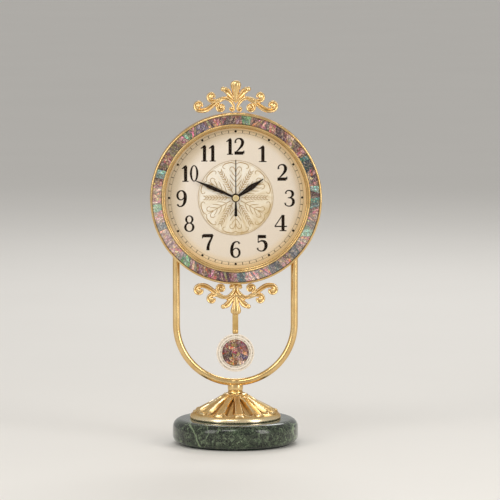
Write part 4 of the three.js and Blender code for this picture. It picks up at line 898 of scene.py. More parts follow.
clip = bmesh.new()
inside, outside = tube_radius + CLIP_GAP, tube_radius + CLIP_WALL
section = [clip.verts.new((x, 0, -radius)) for x, radius in
           ((-CLIP_HALF, inside), (-CLIP_HALF, outside), (CLIP_HALF, outside), (CLIP_HALF, inside))]
sides = [clip.edges.new(pair) for pair in zip(section, section[1:] + section[:1])]
bmesh.ops.rotate(clip, verts=section, cent=(0, 0, 0),
                 matrix=Matrix.Rotation(math.radians(-CLIP_TURN / 2), 3, "X"))
bmesh.ops.spin(clip, geom=section + sides, axis=(1, 0, 0), cent=(0, 0, 0),
               angle=math.radians(CLIP_TURN), steps=40)
bmesh.ops.holes_fill(clip, edges=[edge for edge in clip.edges if edge.is_boundary], sides=8)
bmesh.ops.translate(clip, verts=clip.verts, vec=(0, 0, tube_axis))
rounded(clip, 0.3, 2)
added(collar, clip)
piece("collar_with_clip", collar, STAND, STAND_BODY, satin_gold, ["collar"])

# %% Bent tube
TUBE_SIDES = 40
BEND_STEPS = 96

bend_centre = tube_axis + leg_x
tube = bmesh.new()
bmesh.ops.create_circle(tube, cap_ends=False, radius=tube_radius, segments=TUBE_SIDES,
                        matrix=Matrix.Translation((-leg_x, 0, tube_high.z)))


def open_ring(mesh, height):
    """The open edges at a height."""
    return [edge for edge in mesh.edges if edge.is_boundary or edge.is_wire
            if all(abs(vert.co.z - height) < 0.01 for vert in edge.verts)]


def extruded(mesh, edges, step):
    made = bmesh.ops.extrude_edge_only(mesh, edges=edges)["geom"]
    bmesh.ops.translate(mesh, verts=points_of(made), vec=step)


extruded(tube, tube.edges[:], (0, 0, bend_centre - tube_high.z))
bend_start = open_ring(tube, bend_centre)
bend = bmesh.ops.spin(tube, geom=bend_start, axis=(0, 1, 0), cent=(0, 0, bend_centre),
                      angle=-math.pi, steps=BEND_STEPS)
bend_end = [item for item in bend["geom_last"] if isinstance(item, bmesh.types.BMEdge)]
extruded(tube, bend_end, (0, 0, tube_high.z - bend_centre))
bmesh.ops.holes_fill(tube, edges=[edge for edge in tube.edges if edge.is_boundary], sides=0)
piece("bent_tube", tube, STAND, STAND_BODY, satin_gold, ["u_frame"])

# %% [markdown]
# ## Case and back cover
# Behind the bezel is a drum with a flange, two sockets for the legs and four posts for the screws
# of the cover. The pendulum's rod leaves it through a slot below. The drum is turned, because it is
# round wherever nothing is fixed to it. Sockets and posts are round bars joined to it, and the slot
# is cut out, both with a boolean, which meets the curved wall exactly.

# %% Case drum
FIT_GAP = 0.3
CASE_WALL = 2.6
FLANGE_THICKNESS = 4
LEDGE_WIDTH = 5.4
LEDGE_THICKNESS = 2.4
SOCKET_WALL = 2.1
SOCKET_LENGTH = 22
SOCKET_BORE = 19
BORE_GAP = 0.2
SCREW_RISE = 3.8
POST_RADIUS = 4.6
POST_LENGTH = 12
SLOT_HALF_WIDTH = 16
SLOT_HALF_DEPTH = 5

cover_back, cover_front = depths("back_cover")
case_back = cover_front + FIT_GAP
case_front = depths("glass_lens")[0] - 0.1
flange_back = case_front - FLANGE_THICKNESS
flange_radius = outer_radius("case_shell")
case_radius = outer_radius("back_cover") + FIT_GAP
case_inner = case_radius - CASE_WALL
ledge_front = depths("dial_plate")[0] - FIT_GAP
ledge_back = ledge_front - LEDGE_THICKNESS
ledge_inner = case_inner - LEDGE_WIDTH
screw_low, screw_high = corners("leg_screw_left")
socket_mouth = (screw_low.z + screw_high.z) / 2 - SCREW_RISE - head_height
socket_radius = tube_radius + FIT_GAP + SOCKET_WALL

drum = turned([
    (case_inner, case_back), (case_radius - 0.8, case_back), (case_radius, case_back + 0.8),
    (case_radius, flange_back), (flange_radius, flange_back), (flange_radius, case_front),
    (case_inner, case_front), (case_inner, ledge_front), (ledge_inner, ledge_front),
    (ledge_inner, ledge_back), (case_inner, ledge_back),
])
for leg in (-leg_x, leg_x):
    socket = rod(socket_radius, (leg, socket_mouth, 0), (leg, socket_mouth + SOCKET_LENGTH, 0), 48)
    rounded(socket, 1.5, 4)
    drum = combined(drum, socket, "UNION")
    hole = rod(tube_radius + BORE_GAP, (leg, socket_mouth - 1, 0), (leg, socket_mouth + SOCKET_BORE, 0), 40)
    drum = combined(drum, hole, "DIFFERENCE")

screw_places = []
for number in (1, 2, 3, 4):
    at = centre(f"back_screw_{number}")
    screw_places.append((at.x, at.z - head_height))
for x, y in screw_places:
    drum = combined(drum, rod(POST_RADIUS, (x, y, case_back), (x, y, case_back + POST_LENGTH)), "UNION")
slot = block((-SLOT_HALF_WIDTH, -case_radius - 3, -SLOT_HALF_DEPTH),
             (SLOT_HALF_WIDTH, -case_inner + 3, SLOT_HALF_DEPTH))
drum = combined(drum, slot, "DIFFERENCE")
piece("case_drum", drum, HEAD, STAND_BODY, satin_gold, ["case_shell"])

# %% Back cover with its window
WINDOW_GAP = 4
WINDOW_ROUND = 5
STEP_INSET = 12.5

window = corners("movement_back")[1].x + WINDOW_GAP
cover_radius = outer_radius("back_cover")
step = cover_radius - STEP_INSET
cover = turned([
    (0, cover_back), (step - 1.2, cover_back), (step - 0.6, cover_back + 0.5),
    (step + 0.6, cover_back + 0.5), (step + 1.2, cover_back), (cover_radius - 0.7, cover_back),
    (cover_radius, cover_back + 0.6), (cover_radius, cover_front), (0, cover_front),
])
opening = block((-window, -window, cover_back - 1), (window, window, cover_front + 1))
rounded(opening, WINDOW_ROUND, 6, lambda at: abs(at.x) > window - 1 and abs(at.y) > window - 1)
cover = combined(cover, opening, "DIFFERENCE")
piece("cover_plate", cover, HEAD, STAND_BODY, satin_gold, ["back_cover"])

# %% [markdown]
# ## Screws
# The cover and the leg sockets are held by slotted screws. Each head is a low dome with a slot cut
# across it, on a plain shank. The thread is left out, because it is inside the metal. No two slots
# end up the same way when a screw is driven by hand, so each has its own turn.

# %% Slotted screws
SHANK_RADIUS = 1.3
HEAD_HEIGHT = 1.5
SLOT_HALF = 0.3
SLOT_FLOOR = 0.75


def slotted_screw(name, node, place, base, tip, turn):
    """A screw whose head is at the base and whose shank runs to the tip."""
    length = (Vector(tip) - Vector(base)).length
    radius = outer_radius(node)
    screw = turned([(0, 0), (radius * 0.55, 0.05), (radius * 0.9, 0.35), (radius, 0.8),
                    (radius, HEAD_HEIGHT), (SHANK_RADIUS, HEAD_HEIGHT), (SHANK_RADIUS, length - 0.5),
                    (0.9, length), (0, length)], 32)
    cut = block((-radius - 1, -SLOT_HALF, -1), (radius + 1, SLOT_HALF, SLOT_FLOOR))
    screw = combined(screw, cut, "DIFFERENCE")
    screw.transform(Matrix.Rotation(math.radians(turn), 4, "Z"))
    aim = (Vector(tip) - Vector(base)).to_track_quat("Z", "Y").to_matrix().to_4x4()
    screw.transform(Matrix.Translation(base) @ aim)
    piece(name, screw, place, STAND_BODY, steel, [node])


for number, (x, y), turn in zip((1, 2, 3, 4), screw_places, (20, 75, 140, 100)):
    back, front = depths(f"back_screw_{number}")
    slotted_screw(f"cover_screw_{number}", f"back_screw_{number}", HEAD, (x, y, back), (x, y, front), turn)
for side, turn in (("left", 30), ("right", 115)):
    low, high = corners(f"leg_screw_{side}")
    at = centre(f"leg_screw_{side}")
    slotted_screw(f"socket_screw_{side}", f"leg_screw_{side}", STAND,
                  (at.x, high.y, at.z), (at.x, low.y, at.z), turn)

# %% [markdown]
# ## Bezel and inner ring
# The bezel is a deep turned ring. Its front edge is a narrow rounded rim, and the shell lies in the
# dish inside it. The inner ring is a small cove that holds the glass: a flat land, a step and a
# slope down to the dial. Both are outlines spun about the axis, with more steps than the small
# pieces, because a large circle shows its corners sooner. A torus would give a round bar only,
# without the land and the step that catch the light as two lines.

# %% Bezel rim
BEZEL_STEPS = 192
BEZEL_WALL = 4
FLOOR_THICKNESS = 2

bezel_back, bezel_front = depths("bezel_rim")
bezel_radius = outer_radius("bezel_rim")
bezel_inner = bezel_radius - BEZEL_WALL
inlay_radius = outer_radius("shell_inlay")
rim_inner = inlay_radius + FIT_GAP
ring_back, ring_front = depths("inner_ring")
ring_outer = outer_radius("inner_ring")
floor_back = depths("glass_lens")[0] + 0.2
floor_front = floor_back + FLOOR_THICKNESS
bezel = turned([
    (bezel_inner, bezel_back), (bezel_radius - 1.4, bezel_back),
    (bezel_radius - 0.4, bezel_back + 0.4), (bezel_radius, bezel_back + 1.4),
    (bezel_radius, bezel_front - 1.5), (bezel_radius - 0.25, bezel_front - 0.75),
    (bezel_radius - 0.8, bezel_front - 0.2), (bezel_radius - 1.5, bezel_front),
    (rim_inner + 0.35, bezel_front - 0.15), (rim_inner, bezel_front - 0.7), (rim_inner, floor_front),
    (ring_outer + FIT_GAP, floor_front), (ring_outer + FIT_GAP, floor_back), (bezel_inner, floor_back),
], BEZEL_STEPS)
piece("bezel_with_rim", bezel, HEAD, STAND_BODY, satin_gold, ["bezel_rim"], sharp=40)

# %% Inner ring
RING_WIDTH = 4.7
# The ring's front as (distance in from its outer edge, depth below its front): land, step, slope
RING_FRONT = (
    (0, 0.5), (0.1, 0.3), (0.45, 0.05), (0.95, 0), (1.5, 0.1), (1.9, 0.45), (2.1, 1.0),
    (2.15, 3.4), (3.3, 3.4), (3.4, 2.6), (4.0, 2.9),
)

ring_inner = ring_outer - RING_WIDTH
cove = turned([
    (ring_inner, ring_back), (ring_outer, ring_back),
    *[(ring_outer - inwards, ring_front - below) for inwards, below in RING_FRONT],
    (ring_inner + 0.3, ring_back + 0.7), (ring_inner, ring_back + 0.4),
], BEZEL_STEPS)
piece("glass_ring", cove, HEAD, STAND_BODY, satin_gold, ["inner_ring"], sharp=40)

# %% [markdown]
# ## Shell inlay
# The band is made the way a shell worker lays it: a ring is divided into slanted fields, the large
# ones are cut a few times more at random, every shard is trimmed a little for the joint, and then
# set into dark resin with a slight tilt of its own. The ring leans inwards like a shallow dish.
# A smooth ring with a shell pattern would be quicker, but it would shine as one sheet, where real
# shards each catch the light in their own way. The shards are mostly rose, mauve and grey, and a
# few places are teal, jade or blue. Each draw of chance has a seed, so the ring is always the same.

# %% Tints of the shards
SHELL_TINTS = {
    "rose": (206, 134, 112), "blush": (228, 176, 146), "mauve": (168, 112, 112), "plum": (112, 70, 74),
    "grey": (148, 132, 108), "sand": (180, 156, 108), "slate": (84, 90, 92), "dark teal": (40, 84, 86),
    "teal": (80, 148, 136), "jade": (118, 178, 132), "sky": (150, 196, 192), "violet": (126, 104, 134),
    "crimson": (188, 80, 80), "russet": (168, 92, 70), "copper": (184, 120, 80), "umber": (104, 66, 50),
    "gold": (206, 164, 92),
}
BAND_TINTS = ("rose", "rose", "rose", "rose", "blush", "mauve", "plum", "grey", "sand", "umber")
BOB_TINTS = ("russet", "copper", "umber", "sand", "rose", "russet", "copper", "gold", "sand")
# Places with a tint of their own: degrees clockwise from twelve, reach to each side, tint
BAND_PLACES = (
    (7, 3, "jade"), (60, 2.5, "teal"), (65, 3, "dark teal"), (83, 2.5, "sky"), (93, 3, "teal"),
    (115, 3, "jade"), (122, 2, "blush"), (133, 4, "slate"), (150, 5, "slate"), (176, 3, "dark teal"),
    (219, 3, "jade"), (232, 6, "copper"), (250, 3, "slate"), (256, 3, "rose"), (263, 3, "jade"),
    (275, 8, "blush"), (289, 3, "sky"), (300, 4, "rose"), (307, 3, "sand"), (323, 3, "jade"),
    (334, 4, "violet"),
)
BOB_PLACES = (
    (285, 36, "russet"), (235, 20, "umber"), (200, 20, "gold"), (150, 16, "blush"), (112, 12, "violet"),
    (55, 30, "crimson"), (0, 22, "copper"),
)


def shard_tint(chance, clockwise, common, special_places):
    """One of the common tints, or the tint of the place, a little lighter or darker."""
    name = chance.choice(common)
    for middle, reach, special in special_places:
        if abs((clockwise - middle + 180) % 360 - 180) < reach:
            name = special
    shade = chance.uniform(0.74, 1.22)
    return colour(*(min(250, value * shade + chance.uniform(-10, 10)) for value in SHELL_TINTS[name]))


print(len(SHELL_TINTS), "tints,", len(BAND_PLACES), "places on the band with their own")

# %% Cutting and laying shards
JOINT = 0.09
SHARD_THICKNESS = 0.5
MOST_LEAN = 0.12
CUT_ROUNDS = 3


def cut_fields(mesh, chance, largest):
    """Cuts every field that is larger than the given area across a random line."""
    for _ in range(CUT_ROUNDS):
        for face in [face for face in mesh.faces if face.calc_area() > largest * chance.uniform(0.7, 1.3)]:
            middle = face.calc_center_median() + Vector((chance.uniform(-1, 1), chance.uniform(-1, 1), 0))
            angle = math.atan2(middle.y, middle.x)
            angle += chance.choice((-1, 1)) * math.radians(chance.uniform(5, 65))
            bmesh.ops.bisect_plane(mesh, geom=[face, *face.edges, *face.verts], dist=1e-4,
                                   plane_co=middle, plane_no=(math.cos(angle), math.sin(angle), 0))


def lay_shards(mesh, chance, height_at, tilt, common, special_places):
    """Parts the fields, lifts each to its height with a small tilt, and gives it a tint and a grain."""
    rims = bmesh.ops.inset_individual(mesh, faces=mesh.faces[:], thickness=JOINT)["faces"]
    bmesh.ops.delete(mesh, geom=rims, context="FACES")
    tint_layer = mesh.loops.layers.float_color.new("tint")
    grain_layer = mesh.faces.layers.float.new("grain")
    for face in mesh.faces[:]:
        middle = face.calc_center_median()
        lean = Vector((chance.uniform(-tilt, tilt), chance.uniform(-tilt, tilt)))
        clockwise = math.degrees(math.atan2(middle.x, middle.y)) % 360
        tint = shard_tint(chance, clockwise, common, special_places)
        grain = chance.uniform(-1, 1)
        for vert in face.verts:
            rise = max(-MOST_LEAN, min(MOST_LEAN, lean.dot((vert.co - middle).xy)))
            vert.co.z = height_at(vert.co.xy.length) - SHARD_THICKNESS + rise
        top = points_of(bmesh.ops.extrude_face_region(mesh, geom=[face], use_keep_orig=True)["geom"])
        bmesh.ops.translate(mesh, verts=top, vec=(0, 0, SHARD_THICKNESS - MOST_LEAN))
        shard = {linked for vert in [*top, *face.verts] for linked in vert.link_faces}
        for side in shard:
            side[grain_layer] = grain
            for loop in side.loops:
                loop[tint_layer] = tint


print("Shards are", SHARD_THICKNESS, "mm thick, with joints of", JOINT * 2, "mm")

# %% Shell band
BAND_SEED = 12
BAND_WIDTH = 10.2
BAND_EDGE_GAP = 0.05
INLAY_STEP = 1.2
INLAY_DISH = 5.5
FIELDS = 52
# How far a field's ends may move, as a share of the field
SLANT = 0.46
BAND_SHARD_AREA = 44
RESIN_DEPTH = 0.32

inlay_front = bezel_front - INLAY_STEP
inlay_inner = inlay_radius - BAND_WIDTH
band_low, band_high = inlay_inner + BAND_EDGE_GAP, inlay_radius - BAND_EDGE_GAP


def dish_height(radius):
    return inlay_front - INLAY_DISH * (inlay_radius - radius) / (inlay_radius - inlay_inner)


def along_rim(edge):
    return abs(edge.verts[0].co.length - edge.verts[1].co.length) < 1


chance = random.Random(BAND_SEED)
band = bmesh.new()
ends = [band.verts.new((radius, 0, 0)) for radius in (band_low, band_high)]
bmesh.ops.spin(band, geom=[*ends, band.edges.new(ends)], axis=(0, 0, 1), cent=(0, 0, 0),
               angle=math.tau, steps=FIELDS, use_merge=True)
bmesh.ops.remove_doubles(band, verts=band.verts, dist=1e-4)
for vert in band.verts:
    slant = Matrix.Rotation(chance.uniform(-SLANT, SLANT) * math.tau / FIELDS, 3, "Z")
    vert.co = slant @ vert.co
bmesh.ops.subdivide_edges(band, edges=[edge for edge in band.edges if along_rim(edge)], cuts=3)
for vert in band.verts:
    radius = vert.co.length
    wanted = band_low if radius < (inlay_inner + inlay_radius) / 2 else band_high
    vert.co *= wanted / radius
cut_fields(band, chance, BAND_SHARD_AREA)
lay_shards(band, chance, dish_height, 0.05, BAND_TINTS, BAND_PLACES)
print("Faces of shards in the band:", len(band.faces))
piece("shell_band", band, HEAD, STAND_BODY, abalone, sharp=20)

bed_back = floor_front + FIT_GAP
bed_front = inlay_front - RESIN_DEPTH
bed = turned([(inlay_inner, bed_back), (inlay_radius, bed_back), (inlay_radius, bed_front),
              (inlay_inner, bed_front - INLAY_DISH)], BEZEL_STEPS)
piece("shell_bed", bed, HEAD, STAND_BODY, dark_resin, ["shell_inlay"])

# %% [markdown]
# ## Dial
# The dial is a flat card with a hole for the movement's tube. Numerals, dots and the minute track
# are printed on the real one. Here they stand a few hundredths of a millimetre proud, so that they
# are real shapes and stay sharp close up, where a picture of them would blur. Each is drawn with a
# pen whose width changes along the stroke. The pen is a curve with a radius at every point, made a
# mesh and pressed flat.

# %% Dial card
DIAL_HOLE = 3.5

dial_back, dial_front = depths("dial_plate")
dial_radius = outer_radius("dial_plate")
card = turned([(DIAL_HOLE, dial_back), (dial_radius, dial_back), (dial_radius, dial_front),
               (DIAL_HOLE, dial_front)])
piece("dial_card", card, HEAD, STAND_BODY, ivory_dial, ["dial_plate"])

# %% A pen with a changing width
RELIEF = 0.05


def pen_mesh(strokes, resolution=6, sides=2):
    """Strokes are (kind, points): points are (x, y, half width), kind is soft, straight or loop."""
    data = bpy.data.curves.new("pen", "CURVE")
    data.dimensions = "3D"
    data.bevel_depth = 1
    data.bevel_resolution = sides
    data.resolution_u = resolution
    data.use_fill_caps = True
    data.twist_mode = "Z_UP"
    for kind, points in strokes:
        spline = data.splines.new("BEZIER")
        spline.bezier_points.add(len(points) - 1)
        spline.use_cyclic_u = kind == "loop"
        for knot, (x, y, half) in zip(spline.bezier_points, points):
            knot.co = (x, y, 0)
            knot.radius = half
            knot.handle_left_type = knot.handle_right_type = "VECTOR" if kind == "straight" else "AUTO"
    thing = bpy.data.objects.new("pen", data)
    scene.collection.objects.link(thing)
    bpy.context.view_layer.update()
    mesh = settled(thing)
    bmesh.ops.scale(mesh, verts=mesh.verts, vec=(1, 1, 0))
    for vert in mesh.verts:
        vert.co.z = RELIEF if vert.normal.z > 0.1 else 0
    return mesh


print("The print stands", RELIEF, "mm proud of the card")

# %% [markdown]
# ## Numerals
# The numerals are a plain book face with thick stems and thin joining lines. A text object would
# bring the letters of a font; strokes of the pen can follow the proportions of these. Each numeral
# is a few strokes in a box 19.4 mm tall, with its middle at zero. Nine is six turned over.

# %% Strokes of the numerals
OVAL_POINTS = 16


def oval(x, y, across, up, side, end):
    """A closed stroke that is thick at its sides and thin at its top and bottom."""
    points = []
    for step in range(OVAL_POINTS):
        angle = math.tau * step / OVAL_POINTS
        points.append((x + across * math.cos(angle), y + up * math.sin(angle),
                       end + (side - end) * math.cos(angle) ** 2))
    return ("loop", points)


def one(narrow=1.0):
    """A stem, a flag and a foot; the flag and the foot can be made narrower."""
    return [
        ("straight", [(0.9, -9.3, 1.75), (0.9, 8.2, 1.75)]),
        ("soft", [(1.9, 9.2, 0.55), (0.4, 8.1, 1.0), (-1.6, 6.6, 0.75), (-4.4 * narrow, 5.6, 0.35)]),
        ("straight", [(0.9 - 4.7 * narrow, -9.25, 0.42), (0.9 + 4.3 * narrow, -9.25, 0.42)]),
    ]


SIX = [
    ("soft", [(4.6, 6.6, 0.95), (3.6, 8.5, 0.6), (1.2, 9.2, 0.5), (-1.6, 8.0, 0.95), (-3.6, 4.6, 1.5),
              (-4.4, 0.2, 1.75), (-4.3, -4.2, 1.7), (-2.7, -8.0, 1.05), (0.4, -9.2, 0.5), (3.5, -7.4, 0.95),
              (4.7, -3.6, 1.15), (3.6, -0.2, 0.95), (0.9, 1.5, 0.5), (-2.0, 0.2, 0.42), (-3.4, -2.4, 0.4)]),
]
NUMERALS = {
    "1": one(), "narrow 1": one(0.8),
    "2": [
        ("soft", [(-4.2, 4.0, 1.05), (-4.6, 5.8, 0.7), (-3.2, 8.2, 0.55), (-0.4, 9.2, 0.55),
                  (2.5, 8.1, 1.2), (3.9, 4.9, 1.75), (3.1, 1.4, 1.5), (0.6, -2.2, 0.9),
                  (-2.6, -5.6, 0.55), (-5.2, -8.6, 0.45)]),
        ("straight", [(-5.6, -7.9, 1.75), (4.6, -7.9, 1.75)]),
        ("straight", [(4.7, -8.4, 1.2), (5.7, -5.0, 0.35)]),
    ],
    "3": [
        ("soft", [(-4.2, 5.4, 0.95), (-4.2, 7.2, 0.6), (-2.4, 8.9, 0.5), (0.4, 9.1, 0.6), (3.1, 7.6, 1.3),
                  (3.9, 4.9, 1.5), (2.9, 2.3, 1.0), (0.6, 0.9, 0.5), (-1.8, 0.6, 0.4)]),
        ("soft", [(-1.0, 0.7, 0.42), (2.2, 0.2, 0.8), (4.4, -2.2, 1.45), (4.6, -5.2, 1.6), (3.0, -8.0, 1.05),
                  (0.0, -9.2, 0.5), (-3.2, -8.5, 0.5), (-5.0, -6.6, 0.65), (-4.9, -5.2, 0.95)]),
    ],
    "4": [
        ("straight", [(2.6, -9.3, 1.65), (2.6, 9.4, 1.65)]),
        ("straight", [(1.9, 9.2, 0.45), (-6.9, -4.0, 0.45)]),
        ("straight", [(-7.3, -4.2, 0.6), (7.3, -4.2, 0.6)]),
        ("straight", [(-1.6, -9.25, 0.42), (6.6, -9.25, 0.42)]),
    ],
    "5": [
        ("straight", [(-4.7, 7.8, 1.8), (4.7, 7.8, 1.8)]),
        ("straight", [(-4.6, 9.2, 0.42), (-4.6, 0.7, 0.42)]),
        ("soft", [(-4.6, 0.7, 0.4), (-2.4, 2.3, 0.55), (0.8, 2.7, 1.0), (3.8, 0.6, 1.75),
                  (4.6, -3.0, 1.85), (3.2, -7.2, 1.3), (0.0, -9.2, 0.5), (-3.4, -8.6, 0.5),
                  (-5.2, -6.8, 0.7), (-5.2, -5.4, 0.95)]),
    ],
    "6": SIX,
    "7": [
        ("straight", [(-5.4, 7.7, 1.85), (5.9, 7.7, 1.85)]),
        ("straight", [(-5.7, 8.6, 0.9), (-6.3, 4.6, 0.35)]),
        ("soft", [(6.0, 8.6, 0.8), (4.3, 4.4, 0.95), (2.2, 0.2, 1.2), (0.6, -4.6, 1.5), (0.2, -9.5, 1.7)]),
    ],
    "8": [oval(0, 4.9, 3.7, 4.2, 1.1, 0.45), oval(0, -4.25, 4.7, 4.9, 1.25, 0.45)],
    "9": [(kind, [(-x, -y, half) for x, y, half in points]) for kind, points in SIX],
    "0": [oval(0, 0, 3.7, 9.1, 1.15, 0.42)],
}
print("Strokes in all numerals:", sum(len(strokes) for strokes in NUMERALS.values()))

# %% Numerals on the dial
# Each numeral as (strokes, x, y), from twelve round to eleven
HOURS = (
    ("narrow 1", -7.4, 60.4), ("2", 4.2, 60.4), ("1", 31.0, 51.7), ("2", 54.6, 29.6), ("3", 63.1, -0.9),
    ("4", 53.0, -29.8), ("5", 31.0, -53.7), ("6", -0.2, -61.0), ("7", -32.8, -52.3), ("8", -54.4, -30.3),
    ("9", -63.6, -0.8), ("narrow 1", -59.6, 28.8), ("0", -48.7, 28.8), ("narrow 1", -37.4, 52.5),
    ("narrow 1", -27.7, 52.5),
)
INK_GAP = 0.01
INK_SPREAD = 0.17

ink_back = dial_front + INK_GAP
numerals = bmesh.new()
for numeral, x, y in HOURS:
    strokes = [(kind, [(across, up, half + INK_SPREAD) for across, up, half in points])
               for kind, points in NUMERALS[numeral]]
    added(numerals, pen_mesh(strokes), Matrix.Translation((x, y, ink_back)))
piece("numerals", numerals, HEAD, STAND_BODY, printed_ink, sharp=60)

# %% Minute track
TRACK_INNER, TRACK_OUTER = 76.1, 79.4
TRACK_STEPS = 180
TRACK_LINE = 0.11
TICK = 0.36
HOUR_DOT = 1.4
HOUR_DOT_PLACE = 78.1

track = bmesh.new()
for radius in (TRACK_INNER, TRACK_OUTER):
    turned([(radius - TRACK_LINE, 0), (radius + TRACK_LINE, 0), (radius + TRACK_LINE, RELIEF),
            (radius - TRACK_LINE, RELIEF)], TRACK_STEPS, track)
for minute in range(60):
    turn = Matrix.Rotation(-math.tau * minute / 60, 4, "Z")
    if minute % 5:
        added(track, block((-TICK, TRACK_INNER + 0.3, 0), (TICK, TRACK_OUTER - 0.1, RELIEF)), turn)
    else:
        dot = rod(HOUR_DOT, (0, HOUR_DOT_PLACE, 0), (0, HOUR_DOT_PLACE, RELIEF * 1.6), 20)
        added(track, dot, turn)
piece("minute_track", track, HEAD @ Matrix.Translation((0, 0, ink_back)), STAND_BODY,
      printed_ink, sharp=60)

# %% [markdown]
# ## Pearl centre and its rosette
# The centre is a thin disc of mother-of-pearl with a gilded line pattern: a traditional rosette of
# six fans, with leafy sprays between them, inside two circles. It is symmetric, so one fan and one
# spray are drawn with the pen and turned six times, which is less work than drawing the whole and
# can't come out uneven.

# %% Pearl disc
PEARL_HOLE = 5.2
PEARL_EDGE = 0.15

pearl_back, pearl_front = depths("pearl_disc")
pearl_radius = outer_radius("pearl_disc")
pearl_disc = turned([(PEARL_HOLE, pearl_back), (pearl_radius, pearl_back),
                     (pearl_radius, pearl_front - PEARL_EDGE), (pearl_radius - PEARL_EDGE, pearl_front),
                     (PEARL_HOLE, pearl_front)])
piece("pearl_centre", pearl_disc, HEAD, STAND_BODY, pearl, ["pearl_disc"])

# %% Rosette
PETALS = 6
LINE_SCALE, LINE_SPREAD = 1.25, 0.12
# The two circles as (distance in from the disc's edge, half width)
CIRCLES = ((0.4, 0.28), (1.9, 0.18))


def polar(radius, degrees, half):
    """A point on the pattern: degrees are clockwise from the fan's middle."""
    return (radius * math.sin(math.radians(degrees)), radius * math.cos(math.radians(degrees)), half)


def fan():
    """A bracket with curled ends and a cusp, two lobes on a stem and small V leaves."""
    bracket = [polar(36.6, -19.5, 0.16), polar(37.8, -22.5, 0.2), polar(39.8, -22.4, 0.24),
               polar(41.2, -19, 0.26), polar(41.7, -12, 0.26), polar(41.3, -5, 0.24), polar(39.4, 0, 0.2)]
    lobe = [polar(30.5, -1, 0.16), polar(34, -2.2, 0.22), polar(36.6, -6.5, 0.24), polar(35.2, -11, 0.22),
            polar(31.8, -11.5, 0.16)]
    strokes = []
    for points in (bracket, lobe, [polar(25, -1, 0.2), polar(29, -7, 0.24), polar(32.5, -9, 0.14)],
                   [polar(19, -2, 0.2), polar(24, -11, 0.26), polar(28, -14, 0.14)],
                   [polar(13, -3, 0.2), polar(18, -15, 0.26), polar(22.5, -18, 0.14)]):
        strokes.append(("soft", points))
        strokes.append(("soft", [(-x, y, half) for x, y, half in points]))
    strokes.append(("straight", [polar(7, 0, 0.3), polar(37, 0, 0.16)]))
    return strokes


def spray():
    """A feathery stem with paired leaflets."""
    strokes = [("straight", [polar(7, 0, 0.3), polar(36, 0, 0.14)])]
    for radius in (10, 13.5, 17, 20.5, 24, 27.5, 31, 34):
        for side in (-1, 1):
            spread = side * 2.3 * (1.25 - radius / 60) * 60 / (radius + 14)
            strokes.append(("soft", [polar(radius, 0, 0.14), polar(radius + 2.2, spread * 1.4, 0.34),
                                     polar(radius + 4.2, spread * 1.9, 0.12)]))
    return strokes


rosette = bmesh.new()
for petal in range(PETALS):
    for shape, degrees in ((fan(), petal * 60), (spray(), petal * 60 + 30)):
        shape = [(kind, [(x, y, half * LINE_SCALE + LINE_SPREAD) for x, y, half in points])
                 for kind, points in shape]
        added(rosette, pen_mesh(shape, 4, 1), Matrix.Rotation(-math.radians(degrees), 4, "Z"))
for inwards, half in CIRCLES:
    radius = pearl_radius - inwards
    turned([(radius - half, 0), (radius + half, 0), (radius + half, RELIEF), (radius - half, RELIEF)],
           TURNS, rosette)
piece("rosette", rosette, HEAD @ Matrix.Translation((0, 0, pearl_front + INK_GAP)), STAND_BODY,
      rosette_ink, sharp=60)

# %% [markdown]
# ## Hands
# The hour and minute hands are leaves: a narrow neck, a wide middle and a long thin tip, with a
# low ridge along the middle. They are pressed from sheet metal, so a stretched ball would be wrong:
# half of the outline is given as widths at distances, and a smooth curve runs through them. The
# leaf is made as a flat face, given its thickness, cut along the middle, and the cut is lifted.

# %% A hand's outline
CURVE_STEPS = 6


def smooth_rows(rows):
    """More rows through the given ones, on a smooth curve."""
    result = []
    for i in range(len(rows) - 1):
        before, start = rows[max(0, i - 1)], rows[i]
        end, after = rows[i + 1], rows[min(len(rows) - 1, i + 2)]
        for step in range(CURVE_STEPS):
            t = step / CURVE_STEPS
            row = []
            for a, b, c, d in zip(before, start, end, after):
                row.append(0.5 * (2 * b + (c - a) * t + (2 * a - 5 * b + 4 * c - d) * t * t
                                  + (3 * b - a - 3 * c + d) * t ** 3))
            result.append(row)
    return result + [rows[-1]]


print("A smooth outline has", CURVE_STEPS, "rows for each one that is given")

# %% Leaf hands
LEAF_RIDGE = 0.22
BOSS_RADIUS = 4.9
BOSS_HOLE = 1.9
BOSS_EDGE = 0.12
# Where the two hands stand, in degrees clockwise from twelve
HOUR_TURN, MINUTE_TURN = 55.7, 293.5


def flat_hand(rows, thickness, ridge):
    """A hand from (distance, width) rows, with its ridge along the middle."""
    mesh = bmesh.new()
    right = [(width / 2, distance) for distance, width in rows]
    left = [(-x, y) for x, y in reversed(right)]
    face = mesh.faces.new([mesh.verts.new((x, y, 0)) for x, y in right + left])
    top = points_of(bmesh.ops.extrude_face_region(mesh, geom=[face], use_keep_orig=True)["geom"])
    bmesh.ops.translate(mesh, verts=top, vec=(0, 0, thickness - ridge))
    bmesh.ops.bisect_plane(mesh, geom=[*mesh.verts, *mesh.edges, *mesh.faces], dist=1e-5,
                           plane_co=(0, 0, 0), plane_no=(1, 0, 0))
    for vert in mesh.verts:
        if abs(vert.co.x) < 1e-4 and vert.co.z > 0.01:
            vert.co.z += ridge
    bmesh.ops.triangulate(mesh, faces=[face for face in mesh.faces if len(face.verts) > 4])
    return mesh


def leaf_rows(length, width, neck, tip, widest):
    """Widths along a leaf. Widest is the place of its full width, as a share of the length."""
    return smooth_rows([
        (3.6, neck * 1.1), (length * 0.16, neck), (length * (widest - 0.16), width * 0.8),
        (length * widest, width), (length * (widest + 0.13), width * 0.8),
        (length * (widest + 0.3), (width + 2 * tip) / 4), (length - 0.5, tip * 0.8), (length, tip * 0.35),
    ])


